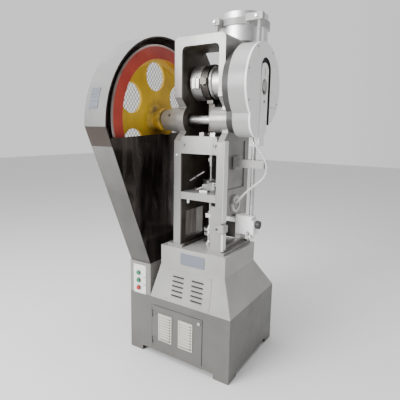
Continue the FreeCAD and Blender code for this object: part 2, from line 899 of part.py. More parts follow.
def cheek(label, left, right, bosses, foot_left, trims):
    """One side of the frame, with its bearing bosses, lower opening and foot flange."""
    body = document.addObject("PartDesign::Body", label + "_plate")
    pad(body, draw(sketch_on(body, "YZ_Plane"), cheek_outline()), f"{right} - {left}")
    place(body, (left, 0, 0))
    plate = cut(body, boss_hollow(left, right))
    flange = box((foot_left, "frame_front - 12", "hood_top"),
                 (92, "frame_back - frame_front + 20", "foot_flange"))
    lower_gap = box((f"{left} - 1", "frame_front + 52", "hood_top + 34"),
                    (f"{right} - {left} + 2", 178, 156))
    bores = [
        rod("X", ("guard_right - 40", "counter_y", "counter_z"), 36, 520),
        rod("X", ("guard_right - 40", "main_y", "main_z"), 42, 520),
    ]
    bolt_holes = [
        rod("Z", (x, y, "hood_top - 1"), 6.2, "foot_flange + 2")
        for x in FOOT_BOLT_COLUMNS for y in FOOT_BOLT_ROWS
    ]
    keep(label, cut(fuse(plate, flange, *bosses), lower_gap, *trims, *bores, *bolt_holes))


def corner_trim(edge, centre):
    """What a cheek loses at its top outer corner to leave it round."""
    block = box((edge, "frame_front - 1", "head_top - corner_radius"),
                ("corner_radius", "frame_back - frame_front + 2", "corner_radius + 1"))
    round_part = rod("Y", (centre, "frame_front - 2", "head_top - corner_radius"), "corner_radius",
                     "frame_back - frame_front + 4")
    return cut(block, round_part)


def frame_cheeks():
    """Left and right sides of the basket frame."""
    left_bosses = [
        cone("X", ("guard_right - 1", "counter_y", "counter_z"), 52, "boss_left_radius",
             "frame_left - guard_right + 2"),
        rod("X", ("frame_left", "counter_y", "counter_z"), "boss_left_radius", "opening_left - frame_left"),
        rod("X", ("frame_left - 10", "main_y", "main_z"), 62, 20),
    ]
    left_trims = [
        corner_trim("frame_left", "frame_left + corner_radius"),
        box(("frame_left - 1", "frame_front + 50", 900), (9, 190, 330)),
    ]
    cheek("left_cheek", "frame_left", "opening_left", left_bosses, "frame_left - 26", left_trims)
    right_bosses = [
        rod("X", ("opening_right - 64", "counter_y", "counter_z"), "boss_right_radius",
            "frame_right - opening_right + 64"),
        rod("X", ("opening_right - 8", "main_y", "main_z"), 62, 20),
        rod("X", ("frame_right - 1", "main_y - 12", 905), 46, 13),
        drain_inlet(),
        box(("opening_right - 28", "frame_front", "hood_top"), (30, 40, 247)),
        box(("frame_right - 1", "frame_front", "hood_top"), (5, 48, 582)),
    ]
    right_trims = [
        corner_trim("frame_right - corner_radius", "frame_right - corner_radius"),
        box(("frame_right - 7", "frame_front + 60", 985), (9, 190, 250)),
    ]
    cheek("right_cheek", "opening_right", "frame_right", right_bosses, "frame_right - 64", right_trims)


def drain_inlet():
    """Short pipe on the drain boss that the hose ends on, square to the hose's last run."""
    end = Vector(*HOSE_ROUTE[-1])
    heading = (end - Vector(*HOSE_ROUTE[-2])).normalize()
    pipe = document.addObject("Part::Cylinder", "Inlet")
    pipe.Radius = 8
    pipe.Height = 24
    pipe.Placement = FreeCAD.Placement(end, Rotation(Vector(0, 0, 1), heading))
    return pipe


def head_bridge():
    """Cross member over the window, with two hopper-post seats on top."""
    bridge = box(("opening_left", "frame_front", "window_top"),
                 ("opening_right - opening_left", "head_back - frame_front", "head_top - window_top"))
    corners = []
    for edge, centre in (("opening_left", "opening_left + 24"),
                         ("opening_right - 24", "opening_right - 24")):
        block = box((edge, "frame_front", "window_top - 24"), (24, "head_back - frame_front", 24))
        corners.append(cut(block, rod("Y", (centre, "frame_front - 1", "window_top - 24"), 24,
                                      "head_back - frame_front + 2")))
    keep("head_bridge", fuse(bridge, *corners))


def rear_wall():
    """Back web of the frame between the cheeks, open above its top edge."""
    keep("rear_wall", box(
        ("opening_left", "frame_back - rear_wall", "hood_top + foot_flange"),
        ("opening_right - opening_left", "rear_wall", "shoulder_height - hood_top - foot_flange")))


def frame_foot_bolts():
    """Hexagon bolts through the frame's foot flanges."""
    bolts = []
    for x in FOOT_BOLT_COLUMNS:
        for y in FOOT_BOLT_ROWS:
            head = hexagon("Z", (x, y, "hood_top + foot_flange"), 10, 8)
            shank = rod("Z", (x, y, "hood_top - 16"), 6, "foot_flange + 17")
            bolts.append(fuse(head, shank))
    keep("frame_foot_bolts", group(*bolts))


def shaft_bushes():
    """Bronze bushes of both shafts, two on each."""
    bushes = []
    for shaft, outer, places in (
        ("counter", 36, (("guard_right - 1", 110), ("opening_right - 64", 96))),
        ("main", 42, (("frame_left - 10", 62), ("opening_right - 8", 40))),
    ):
        for start, length in places:
            bushes.append(tube("X", (start, f"{shaft}_y", f"{shaft}_z"), outer,
                               f"{shaft}_radius + running_gap", length))
    keep("shaft_bushes", group(*bushes))


# ---------------------------------------------------------------- main shaft line

def main_shaft():
    """Upper shaft through both cheeks, with the lifting cam on its nose outside the gear cover."""
    journal = rod("X", ("frame_left - 12", "main_y", "main_z"), "main_radius",
                  "gear_left + gear_width + 6 - frame_left")
    nose = rod("X", ("gear_left + gear_width - 10", "main_y", "main_z"), 20, 52)
    cam = rod("X", ("cover_right + 3", "main_y", "main_z - 2"), 26, 9)
    keep("main_shaft", fuse(journal, nose, cam))


def eccentric():
    """Eccentric with its adjusting drum on the left and its flange and collar on the right."""
    centre = ("main_y", "main_z + stroke / 2")
    drum = rod("X", ("opening_left + 9", *centre), "drum_radius", 62)
    seat = rod("X", ("opening_left + 70", *centre), "strap_bore - running_gap", 50)
    flange = rod("X", ("press_x + rod_width / 2 + 3", *centre), "drum_radius - 4", 11)
    collar = rod("X", ("press_x + rod_width / 2 + 12", *centre), "drum_radius - 14", 72)
    lug = box(("opening_left + 30", "main_y - drum_radius - 14", "main_z + stroke / 2 - 34"), (40, 40, 50))
    notch = box(("opening_left + 47", "main_y - drum_radius - 15", "main_z + stroke / 2 - 40"), (6, 30, 62))
    bore = rod("X", ("opening_left", "main_y", "main_z"), "main_radius", 250)
    keep("eccentric", cut(fuse(drum, seat, flange, collar, lug), notch, bore))


def strap_half(side):
    """Half of the strap round the eccentric, upper (0) or lower (1), with its bolt lugs."""
    centre = ("main_y", "main_z + stroke / 2")
    start = "press_x - rod_width / 2"
    ring = tube("X", (start, *centre), "strap_radius", "strap_bore", "rod_width")
    half = box((start, "main_y - 120", f"main_z + stroke / 2 - {side} * 120"), ("rod_width", 240, 120))
    lugs = [
        box((start, f"main_y + {side_y}", f"main_z + stroke / 2 - {15 * side}"), ("rod_width", 18, 15))
        for side_y in (-106, 88)
    ]
    clear = rod("X", (start, *centre), "strap_bore", "rod_width")
    bores = [
        rod("Z", ("press_x", f"main_y + {y}", "main_z + stroke / 2 - 60"), 4.6, 120) for y in STRAP_BOLT_Y
    ]
    spot_faces = [
        rod("Z", ("press_x", f"main_y + {y}", f"main_z + stroke / 2 + 15 - {55 * side}"), 8.5, 25)
        for y in STRAP_BOLT_Y
    ]
    return cut(fuse(common(ring, half), *lugs), clear, *bores, *spot_faces)


def strap_cap_and_bolts():
    """Upper half of the strap and the two bolts that hold it to the rod's half."""
    keep("strap_cap", strap_half(0))
    bolts = []
    for y in STRAP_BOLT_Y:
        shank = rod("Z", ("press_x", f"main_y + {y}", "main_z + stroke / 2 - 20"), 4.5, 40)
        head = hexagon("Z", ("press_x", f"main_y + {y}", "main_z + stroke / 2 + 15"), 7.5, 6)
        nut = hexagon("Z", ("press_x", f"main_y + {y}", "main_z + stroke / 2 - 21"), 7.5, 6)
        bolts.append(fuse(shank, head, nut))
    keep("strap_bolts", group(*bolts))


def connecting_rod():
    """Flat rod with the strap's lower half at its top and a round foot about the wrist pin."""
    half = 10
    blade = box(("press_x - rod_width / 2", f"main_y - {half}", "wrist_z"),
                ("rod_width", 2 * half, "main_z + stroke / 2 - strap_radius + 10 - wrist_z"))
    palm = box(("press_x - rod_width / 2", "main_y - 30", "main_z + stroke / 2 - strap_radius - 12"),
               ("rod_width", 60, 24))
    foot = rod("X", ("press_x - rod_width / 2", "main_y", "wrist_z"), 22, "rod_width")
    clear = rod("X", ("press_x - rod_width", "main_y", "main_z + stroke / 2"), "strap_radius - 2",
                "2 * rod_width")
    eye = rod("X", ("press_x - rod_width", "main_y", "wrist_z"), 9, "2 * rod_width")
    stem = cut(fuse(blade, palm, foot), clear, eye)
    keep("connecting_rod", fuse(stem, strap_half(1)))
    keep("wrist_pin", rod("X", ("press_x - rod_width / 2 - 0.5", "main_y", "wrist_z"), 9, "rod_width + 1"))


def ram():
    """Square ram with a deep fork at its top for the rod's foot."""
    block = box(("press_x - ram_width / 2", "main_y - ram_depth / 2", "ram_bottom"),
                ("ram_width", "ram_depth", "ram_top - ram_bottom"))
    fork = box(("press_x - rod_width / 2 - 2", "main_y - ram_depth / 2 - 1", "wrist_z - stroke - 26"),
               ("rod_width + 4", "ram_depth + 2", 140))
    socket = rod("Z", ("press_x", "main_y", "ram_bottom - 1"), 13.5, 16)
    keep("ram", cut(block, fork, socket))


def ram_guides():
    """U-shaped guide round the ram's back and sides, and the cap that closes its front."""
    body = new_body("ram_guide_cap")
    low = size.guide_bottom
    high = size.guide_top
    left = size.opening_left
    right = size.opening_right
    curve = 16
    nick = curve * (1 - math.sqrt(0.5))
    outline = [(left, low), (right, low), (right, high - curve), (right - nick, high - nick, "arc"),
               (right - curve, high), (left + curve, high), (left + nick, high - nick, "arc"),
               (left, high - curve)]
    pad(body, draw(sketch_on(body, "XZ_Plane"), outline),
        "main_y - ram_depth / 2 - slide_gap - frame_front", reverse=True)
    bores = sketch_on(body, "XZ_Plane")
    for x in GUIDE_BOLT_X:
        draw_circle(bores, (x, (low + high) / 2), "guide_bolt")
    pocket(body, bores)
    place(body, (0, "frame_front", 0))
    cap_back = "(main_y - ram_depth / 2 - slide_gap)"
    height = "guide_top - guide_bottom"
    block = box(("opening_left", cap_back, "guide_bottom"),
                ("opening_right - opening_left", f"frame_back - rear_wall - {cap_back}", height))
    channel = box(("press_x - ram_width / 2 - slide_gap", f"{cap_back} - 1", "guide_bottom - 1"),
                  ("ram_width + 2 * slide_gap", "ram_depth + 2 * slide_gap + 1", f"{height} + 2"))
    bolt_holes = [
        rod("Y", (x, f"{cap_back} - 1", "(guide_bottom + guide_top) / 2"), "guide_bolt", 24)
        for x in GUIDE_BOLT_X
    ]
    keep("ram_guide", cut(block, channel, *bolt_holes))


def guide_cap_bolts():
    """Cap screws of the ram's front guide."""
    middle = "(guide_bottom + guide_top) / 2"
    bolts = []
    for x in GUIDE_BOLT_X:
        head = rod("Y", (x, "frame_front - 9", middle), 10, 9)
        shank = rod("Y", (x, "frame_front - 1", middle), "guide_bolt - 0.1", 116)
        socket = hexagon("Y", (x, "frame_front - 10", middle), 5, 6)
        bolts.append(cut(fuse(head, shank), socket))
    keep("guide_cap_bolts", group(*bolts))


def upper_punch():
    """Punch holder screwed into the ram, and the upper punch in it."""
    holder = cut(
        fuse(rod("Z", ("press_x", "main_y", "ram_bottom - 66"), 13.5, 81),
             hexagon("Z", ("press_x", "main_y", "ram_bottom - 40"), 20, 16)),
        rod("Z", ("press_x", "main_y", "ram_bottom - 67"), "punch_radius + 2", 40),
    )
    keep("punch_holder", holder)
    tip = "table_top + stroke + 1"
    punch = fuse(rod("Z", ("press_x", "main_y", tip), "punch_radius", 90),
                 rod("Z", ("press_x", "main_y", "ram_bottom - 67"), "punch_radius + 2", 40))
    keep("upper_punch", punch)


# ---------------------------------------------------------------- table, die, feed, lower punch

def die_table():
    """Table between the legs, drilled for the die and the feed pivot."""
    body = new_body("die_table")
    outline = plate_outline(size.opening_left, size.frame_front, size.opening_right,
                            size.frame_back - size.rear_wall, 2)
    pad(body, draw(sketch_on(body, "XY_Plane"), outline), "table_thickness")
    die_bore = draw_circle(sketch_on(body, "XY_Plane"), (size.press_x, size.main_y), "die_radius")
    pocket(body, die_bore)
    pivot = draw_circle(sketch_on(body, "XY_Plane"), FEED_PIVOT, "feed_pin")
    pocket(body, pivot)
    place(body, (0, 0, "table_top - table_thickness"))


def die():
    """Hardened die in the table's bore."""
    keep("die", tube("Z", ("press_x", "main_y", "table_top - table_thickness + 4"), "die_radius",
                     "punch_radius + 0.06", "table_thickness - 4"))


def feed_gear():
    """Feed shoe that swings over the die on its pin, with a tray above its window."""
    x, y = FEED_PIVOT
    keep("feed_pivot", fuse(rod("Z", (x, y, "table_top - 30"), "feed_pin", 84),
                            rod("Z", (x, y, "table_top + 48"), 11, 8)))
    hub = rod("Z", (x, y, "table_top + 0.4"), 15, 46)
    arm = box((x - 7, f"{y} - feed_arm + 34", "table_top + 0.4"), (14, "feed_arm - 42", 22))
    shoe = box((x - 36, f"{y} - feed_arm - 36", "table_top + 0.4"), (72, 72, 24))
    tray = cone("Z", (x, f"{y} - feed_arm", "table_top + 22"), 34, 42, 24)
    funnel = cone("Z", (x, f"{y} - feed_arm", "table_top + 24"), 30, 41, 23)
    window = rod("Z", (x, f"{y} - feed_arm", "table_top - 1"), 26, 80)
    bore = rod("Z", (x, y, "table_top - 1"), "feed_pin + running_gap", 60)
    shoe_solid = cut(fuse(hub, arm, shoe, tray), window, funnel, bore)
    keep("feed_shoe", swing(shoe_solid, Rotation(Vector(0, 0, 1), FEED_REST)))


def swing(item, turn):
    """Turn a piece of the feed gear about the feed pivot to its rest angle."""
    holder = document.addObject("Part::Compound", "Swung")
    holder.Links = [item]
    pivot = Vector(FEED_PIVOT[0], FEED_PIVOT[1], 0)
    holder.Placement = FreeCAD.Placement(Vector(), turn, pivot)
    return holder


def lower_punch():
    """Lower punch with its lifting collar."""
    tip = rod("Z", ("press_x", "main_y", 900), "punch_radius", "table_top - ejection - 900")
    stem = rod("Z", ("press_x", "main_y", 700), 10.5, 201)
    collar = rod("Z", ("press_x", "main_y", 830.3), 18, 12)
    keep("lower_punch", fuse(tip, stem, collar))


def lower_sleeve():
    """Threaded sleeve on the frame's floor that guides the lower punch and carries the gears."""
    barrel = rod("Z", ("press_x", "main_y", "hood_top"), 17, 102)
    foot = rod("Z", ("press_x", "main_y", "hood_top"), 32, 12)
    bore = rod("Z", ("press_x", "main_y", "hood_top - 1"), 10.58, 120)
    keep("lower_sleeve", cut(fuse(barrel, foot), bore))


def adjusting_gears():
    """Two toothed rings that set the fill depth and the ejection height."""
    for label, low, radius in (("ejection_gear", 706, 30), ("fill_gear", 732, 33)):
        disc = rod("Z", ("press_x", "main_y", low), radius, 18)
        notches = []
        for step in range(24):
            angle = 15 * step
            notch = document.addObject("Part::Cylinder", "Notch")
            notch.Radius = 2.1
            notch.Height = 20
            notch.Placement = FreeCAD.Placement(
                Vector(size.press_x + (radius + 0.6) * math.cos(math.radians(angle)),
                       size.main_y + (radius + 0.6) * math.sin(math.radians(angle)), low - 1),
                Rotation())
            notches.append(notch)
        bore = rod("Z", ("press_x", "main_y", low - 1), "17 + running_gap", 20)
        keep(label, cut(disc, bore, *notches))


# ---------------------------------------------------------------- gear cover and lifting gear

def cover_solid(left, right, inset):
    """The gear cover's outline as a solid: a disc, a lower lobe and what joins them."""
    width = f"{right} - ({left})"
    disc = rod("X", (left, "main_y", "main_z"), f"cover_radius - {inset}", width)
    lobe = rod("X", (left, "counter_y", "counter_z + 4"), f"lobe_radius - {inset}", width)
    bridge = box((left, f"counter_y - lobe_radius + {inset}", "counter_z + 4"),
                 (width, f"2 * lobe_radius - 2 * {inset}", 84))
    return fuse(disc, lobe, bridge)


def gear_cover():
    """Cast cover over both gears, open toward the frame, with a shallow arch round the yoke."""
    outer = cover_solid("cover_left", "cover_right", 0)
    inner = cover_solid("cover_left - 1", "cover_right - 8", "cover_wall")
    shaft_hole = rod("X", ("cover_right - 10", "main_y", "main_z"), 34, 12)
    arch_top = "yoke_top - yoke_width / 2 - 4"
    arch_round = rod("X", ("cover_right - 3", "main_y + 14", arch_top), 62, 4)
    arch_leg = box(("cover_right - 3", "main_y - 48", "main_z - 210"),
                   (4, 124, f"{arch_top} - main_z + 210"))
    keep("gear_cover", cut(outer, inner, shaft_hole, arch_round, arch_leg))


def cover_spacer():
    """Dark ring between the frame and the gear cover."""
    outer = cover_solid("frame_right", "cover_left", 22)
    inner = cover_solid("frame_right - 1", "cover_left + 1", 34)
    keep("cover_spacer", cut(outer, inner))


def lift_yoke():
    """Slotted bar that straddles the cam and drops to the lift rod."""
    top = "yoke_top - yoke_width / 2"
    start = "cover_right + 2"
    bar = box((start, "main_y - yoke_width / 2", 1214), ("yoke_thickness", "yoke_width", f"{top} - 1214"))
    head = rod("X", (start, "main_y", top), "yoke_width / 2", "yoke_thickness")
    window = fuse(rod("X", ("cover_right", "main_y", "main_z"), 32, 30),
                  rod("X", ("cover_right", "main_y", "main_z - 14"), 32, 30))
    slot = fuse(rod("X", ("cover_right", "main_y", 1560), 7, 30),
                rod("X", ("cover_right", "main_y", 1588), 7, 30),
                box(("cover_right", "main_y - 7", 1560), (30, 14, 28)))
    taper = box((start, "main_y + 16", 1213), ("yoke_thickness", 40, 60))
    link = box(("lift_x - 18", "main_y - 20", 1214), (f"{start} - lift_x + 18", 40, 34))
    bore = rod("Z", ("lift_x", "main_y", 1213), "lift_radius", 36)
    keep("lift_yoke", cut(fuse(bar, head, link), window, slot, taper, bore))


def lift_rod():
    """Rod from the yoke to the lifting block, with its end nut."""
    shaft = rod("Z", ("lift_x", "main_y", "lift_bottom"), "lift_radius", "1248 - lift_bottom")
    nut = hexagon("Z", ("lift_x", "main_y", "lift_bottom + 6"), 20, 16)
    keep("lift_rod", fuse(shaft, nut))


def rod_guide_bracket():
    """Arm on the cheek that guides the lift rod, split at its end."""
    arm = box(("frame_right", "main_y - 22", 1101), (162, 44, 40))
    bore = rod("Z", ("lift_x", "main_y", 1100), "lift_radius + running_gap", 42)
    split = box(("lift_x", "main_y - 2", 1100), (80, 4, 42))
    palm = box(("frame_right", "main_y - 40", 1086), (12, 80, 70))
    keep("rod_guide_bracket", cut(fuse(arm, palm), bore, split))


def lift_block():
    """Lifting block on the rod with an arm that forks under the lower punch's collar."""
    block = box(("lift_x - 74", "main_y - 30", 752), (103, 60, 98))
    trim_top = box(("lift_x + 13", "main_y - 31", 836), (40, 62, 30), Rotation(Vector(0, 1, 0), 35))
    trim_low = box(("lift_x + 29", "main_y - 31", 750), (40, 62, 30), Rotation(Vector(0, 1, 0), -145))
    arm = box(("press_x - 22", "main_y - 14", 806), ("lift_x - 46 - press_x", 28, 24))
    gap = box(("press_x - 40", "main_y - 11.5", 800), (52, 23, 40))
    throat = rod("Z", ("press_x + 6", "main_y", 800), 11.5, 40)
    bore = rod("Z", ("lift_x", "main_y", 750), "lift_radius", 110)
    keep("lift_block", cut(fuse(block, arm), gap, throat, bore, trim_top, trim_low))


def clamp_knob():
    """Round fluted knob that clamps the lifting block on its rod."""
    disc = rod("X", ("lift_x + 33", "main_y", 806), 21, 18)
    stem = rod("X", ("lift_x + 29", "main_y", 806), 8, 6)
    flutes = []
    for step in range(8):
        angle = math.radians(45 * step)
        flute = document.addObject("Part::Cylinder", "Flute")
        flute.Radius = 4.5
        flute.Height = 22
        flute.Placement = FreeCAD.Placement(
            Vector(size.lift_x + 32, size.main_y + 24 * math.cos(angle), 806 + 24 * math.sin(angle)),
            ALONG["X"])
        flutes.append(flute)
    keep("clamp_knob", cut(fuse(disc, stem), *flutes))


# ---------------------------------------------------------------- hose

def rounded_route():
    """The hose's path: straight runs joined by tangent arcs; prints each arc's radius."""
    corners = [Vector(*point) for point in HOSE_ROUTE]
    edges = []
    start = corners[0]
    radii = []
    for before, corner, after in zip(corners, corners[1:], corners[2:]):
        incoming = (before - corner).normalize()
        outgoing = (after - corner).normalize()
        setback = 0.45 * min((before - corner).Length, (after - corner).Length)
        half_turn = (math.pi - incoming.getAngle(outgoing)) / 2
        radius = setback / math.tan(half_turn)
        enter = corner + incoming * setback
        leave = corner + outgoing * setback
        inward = (incoming + outgoing).normalize()
        middle = corner + inward * (math.hypot(setback, radius) - radius)
        edges.append(Part.LineSegment(start, enter).toShape())
        edges.append(Part.Arc(enter, middle, leave).toShape())
        start = leave
        radii.append(round(radius))
    edges.append(Part.LineSegment(start, corners[-1]).toShape())
    print("hose radii", radii)
    return Part.Wire(edges)


def drain_hose():
    """Clear drain hose from the gear cover's elbow to the boss on the right cheek."""
    path = rounded_route()
    heading = Vector(*HOSE_ROUTE[1]) - Vector(*HOSE_ROUTE[0])
    ring = Part.Circle(Vector(*HOSE_ROUTE[0]), heading, size.hose_radius)
    solid = path.makePipeShell([Part.Wire(ring.toShape())], True, False)
    expected = math.pi * size.hose_radius ** 2 * path.Length
    print(f"hose length {path.Length:.1f}, volume {solid.Volume:.0f} against {expected:.0f}")
    item = document.addObject("Part::Feature", "Hose")
    item.Shape = solid
    item.Placement = FreeCAD.Placement()
    keep("drain_hose", item)


def hose_elbow():
    """Elbow under the gear cover's lower lobe that the hose leaves from."""
    start = Vector(*HOSE_ROUTE[0])
    heading = (Vector(*HOSE_ROUTE[1]) - start).normalize()
    bend = start - heading * 14
    ball = document.addObject("Part::Sphere", "Ball")
    ball.Radius = 9
    ball.Placement.Base = bend
    outlet = document.addObject("Part::Cylinder", "Outlet")
    outlet.Radius = 8
    outlet.Height = 14
    outlet.Placement = FreeCAD.Placement(bend, Rotation(Vector(0, 0, 1), heading))
    stub = rod("Z", (bend.x, bend.y, bend.z), 8, 40)
    lobe = rod("X", ("cover_left", "counter_y", "counter_z + 4"), "lobe_radius", "cover_right - cover_left")
    keep("hose_elbow", cut(fuse(ball, outlet, stub), lobe))


def hopper():
    """Open drum with a cone below it, closed by its outlet tube."""
    body = new_body("hopper")
    wall = size.hopper_wall
    radius = size.hopper_radius
    low = size.hopper_bottom
    high = size.hopper_top
    outline = [(30, 1560), (30, 1640), (radius, low), (radius, high), (radius - wall, high),
               (radius - wall, low), (30 - wall, 1640), (30 - wall, 1560)]
    turned(body, draw(sketch_on(body, "XZ_Plane"), outline), "V_Axis")
    place(body, ("hopper_x", "hopper_y", 0))


def hopper_bracket():
    """Clamp ring round the drum on two posts: one on the head, one on the gear cover."""
    level = 1829
    ring = tube("Z", ("hopper_x", "hopper_y", level), "hopper_radius + 10", "hopper_radius + 0.3", 34)
    left_arm = box(("hopper_x - 90", "head_back - 26", level), (32, 70, 34))
    right_arm = box(("hopper_x + 92", "head_back - 26", level), (90, 30, 34))
    link = box(("hopper_x + 92", "head_back - 24", level), (30, 90, 34))
    left_post = rod("Z", ("hopper_x - 74", "head_back - 14", "head_top"), 9, f"{level + 1} - head_top")
    right_post = rod("Z", ("hopper_x + 164", "head_back - 11", "main_z"), 11, f"{level + 1} - main_z")
    clear = rod("Z", ("hopper_x", "hopper_y", level - 1), "hopper_radius + 0.3", 40)
    cover = rod("X", ("cover_left - 5", "main_y", "main_z"), "cover_radius", 100)
    keep("hopper_bracket", cut(fuse(ring, left_arm, right_arm, link, left_post, right_post), clear, cover))


# ---------------------------------------------------------------- build and write

def build():
    """Make every piece of the press."""
    for make in (
        base_cabinet, foundation_pads, control_column, push_buttons, pedestal_hood, louvre_plate,
        access_door, door_grilles, door_hinges, door_lock, guard_band, guard_mesh,
        guard_side_cover, flywheel, v_belts, motor_pulley, motor, motor_shaft, countershaft,
        gear_pair, frame_cheeks, head_bridge, rear_wall, frame_foot_bolts, shaft_bushes,
        main_shaft, eccentric, strap_cap_and_bolts, connecting_rod, ram, ram_guides,
        guide_cap_bolts, upper_punch, die_table, die, feed_gear, lower_punch, lower_sleeve,
        adjusting_gears, gear_cover, cover_spacer, lift_yoke, lift_rod, rod_guide_bracket,
        lift_block, clamp_knob, drain_hose, hose_elbow, hopper, hopper_bracket,
    ):
        make()
    document.recompute()


def check():
    """Stop when an object failed or a piece has no valid shape."""
    failed = [item.Label for item in document.Objects if {"Invalid", "Error"} & set(item.State)]
    bad = [item.Label for item in pieces if item.Shape.isNull() or not item.Shape.isValid()]
    empty = [item.Label for item in pieces if not item.Shape.Solids]
    if failed or bad or empty:
        raise SystemExit(f"failed {failed}, invalid {bad}, without a solid {empty}")


def write():
    """Write one STEP file for each piece."""
    os.makedirs("parts", exist_ok=True)
    for item in pieces:
        item.Shape.exportStep(f"parts/{item.Label}.step")
        print(f"{item.Label}: {len(item.Shape.Solids)} solids, {item.Shape.Volume / 1000:.1f} cm3")
    print(len(pieces), "pieces")


build()
check()
write()
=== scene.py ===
"""Looks of the tablet press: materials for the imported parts, and the small pieces round them.

Metres, +Z up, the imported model's own frame. The operator stands at -Y.
"""

import math

import bmesh
import bpy
from mathutils import Matrix, Vector


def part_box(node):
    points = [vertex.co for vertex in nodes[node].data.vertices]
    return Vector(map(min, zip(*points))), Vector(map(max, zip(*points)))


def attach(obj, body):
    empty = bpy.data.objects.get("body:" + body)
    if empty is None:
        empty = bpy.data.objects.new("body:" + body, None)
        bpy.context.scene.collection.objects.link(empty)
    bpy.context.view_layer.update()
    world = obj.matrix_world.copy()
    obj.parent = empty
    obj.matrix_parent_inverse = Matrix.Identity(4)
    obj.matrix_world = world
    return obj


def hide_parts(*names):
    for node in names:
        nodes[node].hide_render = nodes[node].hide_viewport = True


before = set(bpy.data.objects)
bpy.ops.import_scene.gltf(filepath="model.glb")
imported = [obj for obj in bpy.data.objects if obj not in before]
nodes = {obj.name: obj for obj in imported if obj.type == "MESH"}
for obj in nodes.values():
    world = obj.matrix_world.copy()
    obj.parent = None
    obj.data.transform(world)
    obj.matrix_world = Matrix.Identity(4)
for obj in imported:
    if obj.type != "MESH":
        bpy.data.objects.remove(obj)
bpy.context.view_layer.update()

# Axes of the guard, the main shaft, the eccentric and the countershaft, and two front faces.
GUARD_Y = -0.110
GUARD_Z = 1.297
MAIN_Y = -0.067
MAIN_Z = 1.5086
ECCENTRIC_Z = 1.5336
COUNTER_Y = -0.130
COUNTER_Z = 1.340
FRAME_FRONT = -0.220
HOOD_FRONT = -0.250


# ---------------------------------------------------------------- camera

def add_camera():
    """Camera at the viewing angle of the press: front right, a little above the middle."""
    yaw = math.radians(32.0965)
    pitch = math.radians(9.1443)
    roll = math.radians(-1.109)
    forward = Vector((-math.sin(yaw) * math.cos(pitch), math.cos(yaw) * math.cos(pitch),
                      -math.sin(pitch)))
    level_right = Vector((math.cos(yaw), math.sin(yaw), 0))
    level_up = level_right.cross(forward)
    right = level_right * math.cos(roll) - level_up * math.sin(roll)
    up = level_right * math.sin(roll) + level_up * math.cos(roll)
    data = bpy.data.cameras.new("camera")
    data.sensor_width = 36
    data.lens = 33.704
    data.shift_x = -0.0023
    data.shift_y = -0.0248
    data.clip_end = 30
    camera = bpy.data.objects.new("camera", data)
    turn = Matrix((right, up, -forward)).transposed().to_4x4()
    camera.matrix_world = Matrix.Translation((1.1174, -1.8325, 1.2889)) @ turn
    bpy.context.scene.collection.objects.link(camera)
    bpy.context.scene.camera = camera


# ---------------------------------------------------------------- material helpers

